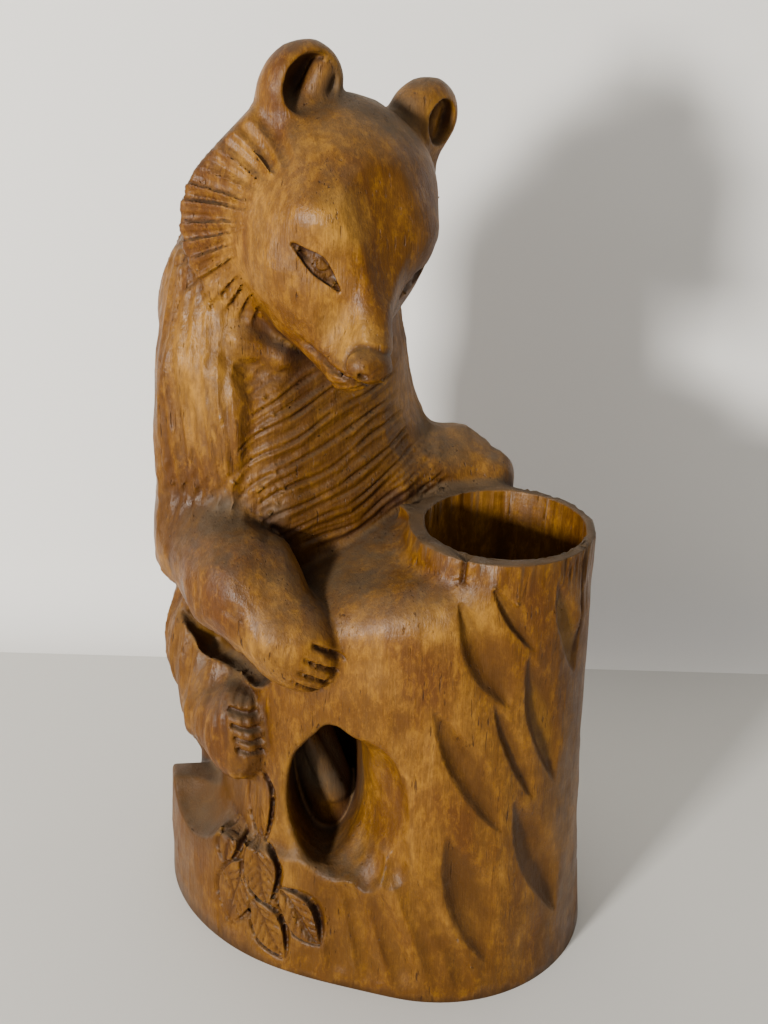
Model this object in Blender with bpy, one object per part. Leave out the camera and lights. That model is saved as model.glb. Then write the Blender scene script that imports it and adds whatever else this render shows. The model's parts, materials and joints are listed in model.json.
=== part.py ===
"""A carved wooden bear leaning over a hollowed tree stump, cut from one block of wood.

The block is described as a field of signed distances in millimetres: rounded masses are blended together,
then gouge marks, claws, leaves and hollows are cut into them. One closed mesh in metres is made of it.
X runs from the bear towards the stump, -Y is the show side and Z is up. It stands on its flat underside.
"""

import math

import bmesh
import bpy
import numpy as np

NAME = "carved_bear"
CELL = 1.3  # grid the surface is drawn on
FACES = 9700
MM = 0.001

# Block
TOTAL_HEIGHT = 269.0
ORIGIN = (-0.4, -1.8)  # middle of the footprint, taken as the part's own origin
LOG_RADIUS = 59.5
LOG_CENTRE = (-9.0, 4.0)
LEDGE_HEIGHT = 40.5

# Stump and its cup
STUMP_RADIUS = 48.5
STUMP_CENTRE = (19.0, -18.0)
STUMP_TAPER = 0.04
RIM_HEIGHT = 143.0
RIM_RADIUS = 26.2
RIM_CENTRE = (33.0, -31.0)
RIM_TIP = (5.0, -20.5)
BORE_RADIUS = 22.5
BORE_CENTRE = (34.0, -30.5)
BORE_DEPTH = 65.0

# Head: where it sits and how it is turned, tipped and tilted
HEAD_CENTRE = (-19.9, -10.0, 225.0)
HEAD_TURN = 29.3
HEAD_TIP = 19.4
HEAD_TILT = 15.0
SKULL_RADIUS = 28.5
EAR_RADIUS = 11.2
EYE_LENGTH = 16.2
EYE_LID = 3.2
MOUTH_DEPTH = 1.0
RUFF_REACH = 29.0
RUFF_EDGES = (-82, -69, -61, -53, -46, -32, -21, -11, -1, 11, 19, 28, 41, 54, 65, 78)  # flute edges, degrees

CHEST_PITCH = 4.6
FUR_PITCH = 4.6

SHARP = 1.5
SOFT = 6.0


# ---------------------------------------------------------------- small field helpers


def vec(*values):
    return np.array(values, np.float32)


def length(v):
    return np.sqrt(np.einsum("...i,...i", v, v))


def join(a, b, k=SOFT):
    """Union of two fields with a fillet of about k."""
    h = np.maximum(k - np.abs(a - b), 0) / k
    return np.minimum(a, b) - h * h * k * np.float32(0.25)


def cut(a, b, k=SHARP):
    """The solid a with b taken out of it, its edge rounded by about k."""
    return -join(-a, b, k)


def trim(a, b, k=SHARP):
    """What a and b share, its edge rounded by about k."""
    return -join(-a, -b, k)


def ellipsoid(p, centre, radii):
    q = p - vec(*centre)
    r = vec(*radii)
    k0 = length(q / r)
    return k0 * (k0 - 1) / np.maximum(length(q / (r * r)), 1e-6)


def limb(p, a, b, ra, rb):
    """A rounded, tapering limb from a to b."""
    a = vec(*a)
    ab = vec(*b) - a
    t = np.clip(((p - a) @ ab) / (ab @ ab), 0, 1)
    return length(p - a - t[:, None] * ab) - (ra + t * (rb - ra))


def chain(p, joints, k=SOFT):
    """Limbs through (x, y, z, radius) joints."""
    parts = [limb(p, a[:3], b[:3], a[3], b[3]) for a, b in zip(joints, joints[1:])]
    whole = parts[0]
    for part in parts[1:]:
        whole = join(whole, part, k)
    return whole


def round_post(p, centre, radius):
    return np.hypot(p[:, 0] - np.float32(centre[0]), p[:, 1] - np.float32(centre[1])) - radius


def fade(x, start, end):
    """0 before start and 1 after end, smooth between."""
    t = np.clip((x - start) / (end - start), 0, 1)
    return t * t * (3 - 2 * t)


def window(x, low, high, soft):
    return fade(x, low - soft, low) * fade(-x, -high - soft, -high)


def scallop(t):
    """Side by side gouge cuts: 0 on the crests at whole t, 1 in the middle of a cut."""
    f = t - np.floor(t)
    return 1 - (2 * f - 1) ** 2


def vee(x, half_width):
    """A knife cut: 1 on the line, 0 from half_width away."""
    return np.maximum(1 - np.abs(x) / half_width, 0)


def taper(t):
    """A run of strokes: 1 along each, drawn out to 0 at whole t."""
    return np.minimum(2.2 * scallop(t), 1)


def gouges(across, along, width, stroke):
    """Long staggered gouge strokes: columns of a width, each broken into lens-shaped strokes."""
    column = np.floor(across / width)
    shift = np.sin(column * 12.9) * 0.5 + column * 0.37
    return scallop(across / width) * (0.35 + 0.65 * taper(along / stroke + shift))


def hairs(across, along, pitch, reach, blur=0.34):
    """Staggered knife lines: 1 on a line, 0 between, each line a lens along its length."""
    t = across / pitch
    row = np.round(t)
    shift = np.sin(row * 12.9) * 0.5 + row * 0.37
    return vee(t - row, blur) * taper(along / reach + shift)


def turn(angle):
    c, s = math.cos(math.radians(angle)), math.sin(math.radians(angle))
    return c, s


# ---------------------------------------------------------------- stump, cup and base


def stroke_frame(across, up, start, end):
    """Position along and beside a stroke from start to end, both as fractions of its half length."""
    du, dv = end[0] - start[0], end[1] - start[1]
    half = math.hypot(du, dv) / 2
    u = across - (start[0] + end[0]) / 2
    v = up - (start[1] + end[1]) / 2
    return (u * du + v * dv) / (half * 2 * half), (u * dv - v * du) / (half * 2), half


def scoop(across, up, start, end, width, depth):
    """A lens-shaped scoop, steep on its lower left, with a floor that runs out softly to the right."""
    along, beside, half = stroke_frame(across, up, start, end)
    bow = np.maximum(1 - along**2, 0)
    t = np.clip((0.5 * width * bow - beside) / np.maximum(1.2 * width * bow, 1e-3), 0, 1)
    return 6.75 * depth * t * (1 - t) ** 2 * bow**0.9


def stump_scoops(p):
    """Bark scoops: eight on the show side, then a plainer run round the back."""
    around = np.degrees(np.arctan2(p[:, 1] + 18, p[:, 0] - 18))
    step = 46 * math.pi / 180
    s = around * step
    z = p[:, 2]
    strokes = [
        (-74, 137, -57, 116, 5),
        (-86, 132, -65, 99, 12),
        (-60, 116, -43, 69, 10),
        (-94, 101, -66, 58, 10),
        (-72, 102, -53, 66, 6),
        (-62, 69, -38, 20, 12),
        (-87, 60, -69, 12, 13),
        (-50, 136, -35, 103, 8),
    ]
    for column in range(4):
        for row in range(3):
            top = 134 - 42 * row - 14 * (column % 2)
            left = -22 + 24 * column + 4 * row
            strokes.append((left, top, left + 16, top - 36 - 3 * column, 10 + column))
    depth = 0
    for a0, z0, a1, z1, width in strokes:
        deep = 1.4 + 0.13 * width
        depth = np.maximum(depth, scoop(s, z, (a0 * step, z0), (a1 * step, z1), width, deep))
    return depth


def stump(p):
    x, y, z = p.T
    cx, cy = STUMP_CENTRE
    radius = STUMP_RADIUS - STUMP_TAPER * z
    trunk = np.hypot(x - (cx - 0.052 * z), y - cy) - radius
    flank = np.hypot(x + 3 - 0.016 * z, y + 8 + 0.024 * z) - radius - 0.5
    trunk = join(trunk, flank, 10)
    top = np.minimum(134.5 + 0.24 * x + 0.2 * (y + 35), 141)
    top = top - 0.75 * np.maximum(y + 4, 0) * fade(x, 10, 34)
    trunk = trim(trunk, (z - top) * 0.9, 12)
    trunk = trim(trunk, (z - (130 + 1.0 * (x + 22))) * 0.7, 16)
    trunk = cut(trunk, ellipsoid(p, (-4, -44, 152), (22, 20, 18)), 6)
    drop = np.clip((RIM_HEIGHT - z) / 83, 0, 1.2)
    cup = np.hypot(x - (RIM_CENTRE[0] - 9 * drop), y - (RIM_CENTRE[1] + 7 * drop)) - (RIM_RADIUS + 11.5 * drop)
    flat = np.stack([x, y, 0 * z], 1)
    tip = limb(flat, (20, -27, 0), (*RIM_TIP, 0), 14, 0.8) + 0.12 * np.maximum(RIM_HEIGHT - 3 - z, 0)
    cup = np.maximum(join(cup, tip, 2), z - RIM_HEIGHT)
    return join(trunk, cup, 3) + stump_scoops(p) + root_facets(p)


def root_facets(p):
    """Long flat gouge strokes that run down from the hollow to the foot of the block."""
    s, z = p[:, 0] + 0.25 * p[:, 1], p[:, 2]
    depth = np.zeros(len(p), np.float32)
    for top, foot, start in ((-28, -24, 36), (-22, -15, 38), (-16, -5, 38), (-8, 6, 47), (-2, 13, 36)):
        along, beside, half = stroke_frame(s, z, (top, start), (foot, 4))
        flat = np.clip(1 - (beside / 4.0) ** 2, 0, 1) * np.clip(1.1 - along**4, 0, 1)
        depth = np.maximum(depth, 0.9 * flat)
    return depth * fade(-p[:, 1], 40, 48)


def base(p):
    x, y, z = p.T
    log = round_post(p, LOG_CENTRE, LOG_RADIUS) + 0.02 * z
    fall = 0.8 * np.maximum(y + 5, 0) * fade(-x, 44, 54)
    log = trim(log, (z - LEDGE_HEIGHT + fall) * 0.8, 1.5)
    dish = ellipsoid(p, (-62, -30, 56), (21, 23, 25))
    stub = ellipsoid(p, (-54, 9, 46), (8, 8, 8))
    return join(cut(log, dish, 1), stub, 1)


LEAF_EDGE = 0.8
LEAVES = (
    # angle round the log, height of the stalk end, length, width, lean to the right
    (-127.5, 44, 14, 8, -0.05),
    (-121.0, 68, 28, 11, 0.15),
    (-122.5, 34, 26, 15, -0.18),
    (-118.5, 43, 22, 13, 0.28),
    (-118.0, 22, 21, 12, 0.66),
    (-108.7, 30, 21, 12, 0.80),
)


def leaf_frames(p):
    """For each leaf: distance right of its midrib, share of the way down it, its bow there, length and edge gap."""
    wall = np.arctan2(p[:, 1] - LOG_CENTRE[1], p[:, 0] - LOG_CENTRE[0]) * LOG_RADIUS
    for around, top, size, width, lean in LEAVES:
        u = wall - math.radians(around) * LOG_RADIUS
        v = top - p[:, 2]
        norm = math.hypot(1, lean)
        along = (v + lean * u) / norm / size
        t = np.clip(along, 0, 1)
        bow = 4 * t * (1 - t)
        beside = (u - lean * v) / norm - 0.05 * width * np.sin(2 * np.pi * t)
        half = 0.5 * width * bow**0.8 * (1.1 - 0.25 * t)
        gap = half - np.abs(beside) - 2 * np.abs(along - t) * size
        yield beside, along, bow, size, gap


def leaf_relief(p):
    """Overlapping pointed leaves low on the wall, each a little proud of a cut outline that is deep on the right."""
    depth = np.zeros(len(p), np.float32)
    for beside, along, bow, size, gap in leaf_frames(p):
        right = 2.6 * bow * np.clip(1 + gap / (0.6 + 2.4 * bow), 0, 1)
        left = 1.3 * np.clip(1 + gap / 1.5, 0, 1)
        blade = 0.9 * vee(beside, 1.2) * window(along, 0.06, 0.95, 0.04) - 0.9
        share = np.clip(gap / LEAF_EDGE, 0, 1)
        depth = np.maximum(depth, np.where(beside > 0, right, left))
        depth = depth + share * (blade - depth)
    return depth


def hollow(p):
    """The deep left half of the hollow low in the stump, with a root left standing inside it."""
    deep = ellipsoid(p, (-15, -38, 62), (11, 29, 25))
    deep = join(deep, ellipsoid(p, (-11, -50, 73), (8, 14, 19)), 3)
    void = join(deep, ellipsoid(p, (-11, -56, 57), (12.5, 12, 18)), 3)
    root = limb(p, (-25, -26, 86), (-14, -24, 42), 6, 9)
    root = join(root, limb(p, (-22, -34, 76), (-13, -30, 50), 3, 4), 1)
    return cut(void, root, 2)


def hollow_recess(p):
    """The right half of the hollow: a bowl that slants in from the right edge, with two shallow flutes low in it."""
    bowl = ellipsoid(p, (-6.5, -66.5, 65), (16.5, 16.5, 25.5))
    flutes = ellipsoid(p, (-2.5, -61, 49), (6, 5.5, 12))
    return np.minimum(bowl, np.minimum(flutes, ellipsoid(p, (5, -64, 51), (5, 4.5, 11))))


def body_gouges(p, pitch, stroke, lean=0.0):
    around = np.arctan2(p[:, 1] - 10, p[:, 0] + 28) * 40
    return gouges(around + lean * p[:, 2], p[:, 2], pitch, stroke)


def torso(p):
    x, y, z = p.T
    body = ellipsoid(p, (-28, 8, 140), (40, 37, 58))
    body = join(body, ellipsoid(p, (-32, 7, 190), (35.5, 29, 34)), 14)
    body = join(body, ellipsoid(p, (-28, 14, 95), (36, 36, 50)), 14)
    body = join(body, limb(p, (-28, 16, 70), (-26, 16, 20), 32, 34), 10)
    body = join(body, limb(p, (-35, -14, 174), (-33, -15, 146), 15, 16.5), 8)
    body = join(body, limb(p, (-31, 7, 205), (-25, 2, 228), 26, 21), 10)
    front = fade(x - 0.35 * (y + 10), -46, -38) * fade(-y, 0, 10) * window(z, 135, 196, 6)
    fur = 0.9 * body_gouges(p, FUR_PITCH + 1, 55) * fade(y, -6, 8) * window(z, 46, 226, 8)
    return body + chest_hair(p) * front + fur


def chest_line(p):
    """Runs across the combed lines: they rise from the armpit, flatten over the belly and rise to the right."""
    x, y, z = p.T
    line = z - 0.42 * (x + 40) + 6 * np.exp(-np.maximum(x + 42, -8) / 7) - 0.006 * np.maximum(x + 12, 0) ** 2
    return line + 0.7 * np.sin(0.17 * x + 0.11 * z) + 0.3 * np.sin(0.41 * x - 0.23 * z)


def chest_hair(p):
    x, y, z = p.T
    line = chest_line(p)
    broken = 0.62 + 0.38 * np.sin(0.21 * x + 0.13 * z) * np.sin(0.19 * z - 0.09 * x + 1)
    return 0.75 * broken * hairs(line, x + 0.4 * z, CHEST_PITCH, 34) + 0.4 * scallop(line / (2.6 * CHEST_PITCH))


def elbow_folds(p):
    """Slanting gouge strokes that fan out round the elbow."""
    x, y, z = p.T
    across = (x + 62) * 0.78 - (z - 118) * 0.55
    return gouges(across, z + x, FUR_PITCH, 42) * window(z, 108, 150, 12) * fade(-y, 8, 18)


def right_arm(p):
    """The arm on the show side, hanging from the shoulder and laid over the stump."""
    x, y, z = p.T
    arm = chain(p, [(-46, -6, 203, 17), (-49, -15, 170, 18.5), (-50, -18, 135, 18)], 8)
    arm = trim(arm, -((x + 40) * 0.35 + (y + 33.5) * 0.94), 3)
    ridge = x + 40 + 0.5 * np.maximum(z - 176, 0) + 0.1 * np.maximum(165 - z, 0) - 0.85 * (y + 33)
    arm = trim(arm, ridge * 0.75 - 4 * fade(-z, -150, -138), 0.8)
    fur = 0.7 * body_gouges(p, FUR_PITCH, 60, 0.10) * window(z, 112, 208, 10) * fade(-x, 36, 42)
    fur = fur + 0.6 * elbow_folds(p)
    fore = chain(p, [(-52, -18, 129, 15.5), (-39, -40, 127, 14), (-27, -51, 118, 12)], 8)
    paw = ellipsoid(p, (-21, -53, 112.5), (11.5, 10, 11.5))
    fore = join(fore, paw, 6)
    claws = np.zeros(len(p), np.float32)
    for i in range(4):
        tx, tz = -14.0 - 2.2 * i, 116.5 - 3.6 * i
        off = (z - tz) + 0.72 * (x - tx)
        reach = window(x - tx, -3.6 + 0.4 * i, 4.6, 1.2)
        claws = np.maximum(claws, 1.1 * vee(off, 1.3) * reach * fade(-y, 46, 50))
    return join(arm + fur, fore, 7) + claws


def left_arm(p):
    """The far arm, lying along the back of the cup with its paw by the rim's tip."""
    joints = [(-11.5, 9, 175.5, 17), (-5, 8, 161, 12.5), (8, 8, 145, 11), (20, 9, 143.8, 10.5), (31, 5, 141.5, 7.5)]
    joints = joints + [(20, 4, 143, 8.5), (11, 1, 144, 9), (2, -8, 144, 8.5)]
    arm = chain(p, joints, 4)
    x, y, z = p.T
    nicks = hairs(z - 0.75 * x + 0.3 * y, x + z, 2.6, 20) * window(x, -4, 16, 2) * window(y, -24, -2, 2)
    return arm + 0.6 * nicks


def leg(p):
    """The near hind leg, its foot set flat against the stump with the toes to the right."""
    x, y, z = p.T
    thigh = chain(p, [(-42, 2, 112, 21), (-46, -8, 90, 19), (-45.5, -24, 76, 15)], 8)
    fur = 0.9 * body_gouges(p, 5.5, 40) * window(z, 60, 125, 8) * fade(-x, 44, 50)
    foot = ellipsoid(p, (-40.5, -37, 75), (11, 10.5, 16))
    foot = trim(foot, (-(y + 46.5) - 0.35 * (x + 40)) * 0.94, 1.5)
    toes = np.zeros(len(p), np.float32)
    for i in range(5):
        toes = np.maximum(toes, vee(z - (90 - 3.9 * i) + 0.12 * (x + 38) - 0.15 * (y + 42), 1.3))
    toes = 1.2 * toes * window(x + 0.2 * (z - 80), -41.5, -34, 1.0) * fade(-y, 33, 37)
    return join(thigh + fur, foot, 4) + toes


def far_leg(p):
    thigh = chain(p, [(-14, 26, 92, 24), (-4, 36, 62, 19), (2, 40, 40, 14)], 8)
    return thigh + 1.1 * body_gouges(p, 6.0, 40)


# ---------------------------------------------------------------- head


def head_axes():
    """Rows: the head's right, forward and up directions."""
    ct, st = turn(HEAD_TURN)
    cp, sp = turn(HEAD_TIP)
    cr, sr = turn(HEAD_TILT)
    turned = np.array([[ct, -st, 0], [st, ct, 0], [0, 0, 1]])
    tipped = np.array([[1, 0, 0], [0, cp, -sp], [0, sp, cp]])
    tilted = np.array([[cr, 0, sr], [0, 1, 0], [-sr, 0, cr]])
    frame = turned @ tipped @ tilted
    return (frame * np.array([1, -1, 1])).T.astype(np.float32)


BROW_SPOON = ((-7.7, 52.4, 38.6, 34), (-2.1, 61.6, 25, 33), (1.2, 54.6, 17.3, 24), (-0.8, 52.8, -2.3, 7.6))


def skull(q):
    d = ellipsoid(q, (1, 3, 4), (SKULL_RADIUS, SKULL_RADIUS, SKULL_RADIUS))
    d = join(d, ellipsoid(q, (-0.9, 14, -8), (23.1, 22, 21)), 10)
    d = join(d, ellipsoid(q, (-15, -8, 7), (19, 15, 19)), 6)
    d = join(d, ellipsoid(q, (-11, 22, 9), (9, 8, 7)), 8)
    d = join(d, ellipsoid(q, (11, 22, 9), (8, 8, 7)), 8)
    d = join(d, muzzle(q), 7)
    return cut(d, chain(q, BROW_SPOON, 1), 0.7)


def muzzle(q):
    """The snout: flat sides under a narrow bridge, a squared nose and the lower lip set back."""
    d = limb(q, (-1, 24, -9), (-1.0, 42.5, -18), 13, 8)
    d = join(d, limb(q, (0, 26, 3), (0.4, 47.0, -14), 6.5, 3.8), 5)
    d = join(d, limb(q, (-2, 20, -20), (-1.6, 41.5, -24.4), 10, 4.6), 4)
    for side, flank in ((-1, 13.5), (1, 14.2)):
        plane = 0.958 * side * q[:, 0] + 0.234 * q[:, 1] + 0.163 * q[:, 2] - flank
        d = trim(d, plane - 10 * fade(-q[:, 1], -38, -28), 0.6)
    d = join(d, ellipsoid(q, (-1.2, 48.7, -16.6), (6.8, 4.9, 5.0)), 0.5)
    for across in (-4.6, 2.4):
        d = cut(d, ellipsoid(q, (across, 53.4, -17.8), (1.6, 2.6, 1.2)), 0.5)
    return cut(d, ellipsoid(q, (-8.4, 47.5, -14.5), (1.6, 2.6, 2.2)), 0.5)


def eye_place(q, side):
    """Along the eye from its outer corner inwards, and up across it."""
    u, v, w = q[:, 0] * side - 21.0, q[:, 1] - 25.0, q[:, 2] - 1.5
    return -0.637 * u + 0.705 * v - 0.312 * w, -0.375 * u + 0.066 * v + 0.915 * w


def lids(along):
    """Heights of the upper and the lower lid along the eye, both swelling over the eyeball."""
    bow = np.maximum(np.sin(np.pi * np.clip(along / EYE_LENGTH, 0, 1)), 0)
    swell = np.exp(-(((along - 8.2) / 4.4) ** 2))
    return EYE_LID * (0.5 * bow**0.8 + 0.38 * swell * bow), -0.8 * bow**0.7 - 0.5 * swell * bow


def eye_cuts(q):
    """Almond sockets under a high upper lid, each with a round eyeball in it and a tear corner."""
    depth = np.zeros(len(q), np.float32)
    for side in (-1, 1):
        along, up = eye_place(q, side)
        upper, lower = lids(along)
        inside = np.clip(np.minimum(upper - up + 0.3, (up - lower + 0.3) * 0.8), 0, 1)
        ball = fade(-np.hypot(along - 8.7, up - 1.7), -3.4, -1.2)
        wedge = fade(-np.abs(along - 3.6), -2.4, -0.6)
        socket = inside * (1.2 - 0.9 * ball + 0.7 * wedge) * window(along, 0, EYE_LENGTH, 0.3)
        depth = np.maximum(depth, socket * fade(q[:, 1], 10, 15))
    return depth


def mouth_cut(q):
    """The line between the lips, turned up a little at its corner."""
    line = q[:, 2] + 23.4 - 0.10 * (q[:, 1] - 34) - 0.05 * np.maximum(36 - q[:, 1], 0) ** 1.5
    return MOUTH_DEPTH * vee(line, 1.4 * MOUTH_DEPTH) * window(q[:, 1], 31, 60, 2)


def swivel(q, centre, angle):
    """Places seen from a centre, turned about the upright axis."""
    c, s = turn(angle)
    r = q - vec(*centre)
    return np.stack([r[:, 0] * c - r[:, 1] * s, r[:, 0] * s + r[:, 1] * c, r[:, 2]], 1)


def ear(q, place, facing, opening, gape=1.0):
    """A thick-walled cup of an ear with a leaf-like fold inside, opening forwards at an angle."""
    centre = (place[0], -6, place[1])
    r = swivel(q, centre, facing)
    shell = ellipsoid(r, (0, -0.5, 0), (EAR_RADIUS, 8, EAR_RADIUS))
    shell = join(shell, limb(r, (-2, 1, -5), (2, 2, -16), 6.5, 8), 5)
    r = swivel(q, centre, opening)
    shell = cut(shell, ellipsoid(r, (-0.4, 6, 2.0), (7.6 * gape, 8.5, 8.4 * gape)), 1)
    fold = limb(r, (3.6 * gape, 0.6, 5.5 * gape), (2.4 * gape, 1.8, -6 * gape), 3.4 * gape, 4.2 * gape)
    return join(shell, fold, 0.8)


def ruff_place(q, side):
    """Distance from the middle of the fan, angle round it up from straight out, and place above its face."""
    u, v, w = q[:, 0] * side - 22.7, q[:, 1] - 22.7, q[:, 2] - 6.1
    out = 0.839 * u - 0.401 * v - 0.368 * w
    up = 0.123 * u - 0.520 * v + 0.845 * w
    above = 0.531 * u + 0.754 * v + 0.387 * w
    rho = np.hypot(out, up)
    face = 0.87 * (above + 9 + 0.56 * (rho - 11) - 0.2 * up)
    return rho, np.degrees(np.arctan2(up, out)), face


def ruff_steps(swing):
    """How many flutes up the fan an angle is."""
    return np.interp(swing, RUFF_EDGES, np.arange(len(RUFF_EDGES))).astype(np.float32)


def ruff_collar(q, side, reach):
    """The flared collar of hair behind the cheek: a free outer edge that narrows into the neck behind it."""
    rho, swing, face = ruff_place(q, side)
    edge = reach + 0.10 * np.maximum(-swing - 35, 0) + 0.5 * scallop(ruff_steps(swing)) * fade(-swing, -30, 0)
    edge = np.where(np.abs(swing) > 100, reach - 0.3 * (np.abs(swing) - 100), edge)
    return trim(trim(face, -face - 24, 1), 0.8 * (rho - edge + 0.75 * np.maximum(-face - 6, 0)), 1)


def ruff_flutes(q, side):
    """Radial gouge flutes: soft above, stepped in the middle and shingled low down."""
    rho, swing, face = ruff_place(q, side)
    swing = swing - 0.33 * np.maximum(swing, 0) * (1 - rho / 32)
    f = ruff_steps(swing)
    f = f - np.floor(f)
    low, high = fade(-swing, 26, 34), fade(swing, 18, 24)
    shingle = np.minimum(1.1 * f, (1 - f) / 0.12)
    step = np.minimum(1.1 * (1 - f), f / 0.22)
    profile = 2.0 * low * shingle + 1.1 * high * scallop(f) + 2.0 * (1 - low) * (1 - high) * step
    start = 10 + 0.16 * np.maximum(-swing - 5, 0)
    reach = fade(rho - start, 0, 7) * window(swing, -80, 78, 4) * (1 - 0.6 * fade(rho, 24, 29.5))
    return profile * reach * fade(-face, -7, -4)


def head(p):
    q = (p - vec(*HEAD_CENTRE)) @ head_axes().T
    d = skull(q)
    d = join(d, ruff_collar(q, -1, RUFF_REACH), 2)
    d = join(d, ruff_collar(q, 1, RUFF_REACH - 5), 2)
    d = d + ruff_flutes(q, -1) + ruff_flutes(q, 1)
    nape = -0.708 * p[:, 0] + 0.043 * p[:, 1] + 0.705 * p[:, 2] - 203.0
    d = trim(d, nape, 2)
    d = join(d, ear(q, (-16.0, 30.1), 0, 2), 3)
    d = join(d, ear(q, (23.8, 28.5), 12, 26, 0.7), 3)
    return d + eye_cuts(q) + mouth_cut(q)


def neck_roll(p):
    """The fold of neck below the ruff, running from the back of the shoulder to the throat."""
    joints = [(-54, -7, 207, 6.5), (-48, -15.5, 198, 7), (-39, -21.5, 191, 6), (-29, -24, 187.5, 3.2), (-23, -21, 187, 1.5)]
    return chain(p, joints, 5)


# ---------------------------------------------------------------- whole block


def elbow_pocket(p):
    """The dark pocket under the forearm, driven in along a slant, with a strut left across it."""
    inward = vec(-0.11, 0.856, -0.505)
    r = p - vec(-46, -27, 99)
    r = r - 0.65 * (r @ inward)[:, None] * inward
    void = chain(r, [(-13, 4, 9, 2.6), (-3, -1, 2, 4.8), (10, -7, -5, 4.2)], 2)
    strut = limb(p, (-47, -29, 99), (-36, -36, 95), 0.8, 1.3)
    return cut(void, strut, 1)


def block(p):
    d = join(torso(p), head(p), 2)
    d = join(d, neck_roll(p), 2.5)
    low = join(stump(p), base(p), 4 + 6 * fade(-p[:, 2], -40, -12)) + leaf_relief(p)
    d = join(d, low, 3)
    d = join(d, far_leg(p), 5)
    d = join(d, left_arm(p), 4)
    d = join(d, right_arm(p), 1.5)
    d = join(d, leg(p), 2)
    d = trim(d, -0.986 * p[:, 0] - 0.158 * p[:, 1] + 0.043 * p[:, 2] - 74.6, 3)
    d = cut(d, elbow_pocket(p), 1)
    d = cut(d, hollow_recess(p), 2)
    d = cut(d, hollow(p), 3.5)
    bore = np.maximum(round_post(p, BORE_CENTRE, BORE_RADIUS), RIM_HEIGHT - BORE_DEPTH - p[:, 2])
    return cut(d, bore, 0.6)


# ---------------------------------------------------------------- mesh


def sample(points):
    """The field at many points, a slice at a time to spare memory."""
    parts = [block(points[i : i + 400000]) for i in range(0, len(points), 400000)]
    return np.concatenate(parts).astype(np.float32)


def fill_grid(low, high, cell, levels=3):
    """The field on a grid: exact near the surface, interpolated away from it."""
    low = np.array(low, float)
    step = cell * 2 ** (levels - 1)
    count = np.ceil((np.array(high) - low) / step).astype(int) + 1
    axes = [low[i] + step * np.arange(count[i]) for i in range(3)]
    points = np.stack(np.meshgrid(*axes, indexing="ij"), -1).astype(np.float32)
    grid = sample(points.reshape(-1, 3)).reshape(count)
    for _ in range(levels - 1):
        step /= 2
        fine = np.empty(2 * np.array(grid.shape) - 1, np.float32)
        fine[::2, ::2, ::2] = grid
        fine[1::2, ::2, ::2] = (grid[1:] + grid[:-1]) / 2
        fine[:, 1::2, ::2] = (fine[:, 2::2, ::2] + fine[:, :-2:2, ::2]) / 2
        fine[:, :, 1::2] = (fine[:, :, 2::2] + fine[:, :, :-2:2]) / 2
        near = np.abs(fine) < 2.2 * step + 2.5
        fine[near] = sample((low + step * np.argwhere(near)).astype(np.float32))
        grid = fine
    return grid, low, step


def slab(grid, corner):
    """The grid seen from one corner of its cells."""
    return grid[tuple(slice(c, n - 1 + c) for c, n in zip(corner, grid.shape))]


def heal(grid, step):
    """Fills samples until no two solid corners of a cell touch only along an edge or at a point."""
    corners = [(i, j, k) for i in (0, 1) for j in (0, 1) for k in (0, 1)]
    for _ in range(12):
        solid = grid < 0
        count = sum(slab(solid, c).astype(np.int8) for c in corners)
        clash = np.zeros(count.shape, bool)
        for c in corners[:4]:
            far = tuple(1 - i for i in c)
            both = slab(solid, c).astype(np.int8) + slab(solid, far)
            clash |= ((both == 2) & (count == 2)) | ((both == 0) & (count == 6))
        for axis in range(3):
            for side in (0, 1):
                a, b = [i for i in range(3) if i != axis]
                face = {}
                for i in (0, 1):
                    for j in (0, 1):
                        corner = [side] * 3
                        corner[a], corner[b] = i, j
                        face[i, j] = slab(solid, corner)
                same = (face[0, 0] == face[1, 1]) & (face[0, 1] == face[1, 0])
                clash |= same & (face[0, 0] != face[0, 1])
        if not clash.any():
            break
        for c in corners:
            part = slab(grid, c)
            part[clash & (part >= 0)] = -0.05 * step
    return grid


def surface(grid, low, step):
    """Vertices and quads of the zero surface: one vertex in each cell it crosses."""
    solid = grid < 0
    cells_shape = tuple(n - 1 for n in grid.shape)
    corners = [(i, j, k) for i in (0, 1) for j in (0, 1) for k in (0, 1)]
    inside = np.zeros(cells_shape, np.uint8)
    for i, j, k in corners:
        inside += solid[i : i + cells_shape[0], j : j + cells_shape[1], k : k + cells_shape[2]]
    cells = np.argwhere((inside > 0) & (inside < 8))
    index = np.full(cells_shape, -1, np.int32)
    index[tuple(cells.T)] = np.arange(len(cells))
    place = np.zeros((len(cells), 3))
    crossings = np.zeros(len(cells))
    for corner in corners:
        for axis in range(3):
            if corner[axis]:
                continue
            other = list(corner)
            other[axis] = 1
            a = grid[tuple((cells + corner).T)]
            b = grid[tuple((cells + other).T)]
            crossed = (a < 0) != (b < 0)
            point = np.tile(np.array(corner, float), (crossed.sum(), 1))
            point[:, axis] = a[crossed] / (a[crossed] - b[crossed])
            place[crossed] += point
            crossings[crossed] += 1
    vertices = low + step * (cells + place / crossings[:, None])
    quads = [edge_quads(solid, index, axis) for axis in range(3)]
    return vertices, np.concatenate(quads)


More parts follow.
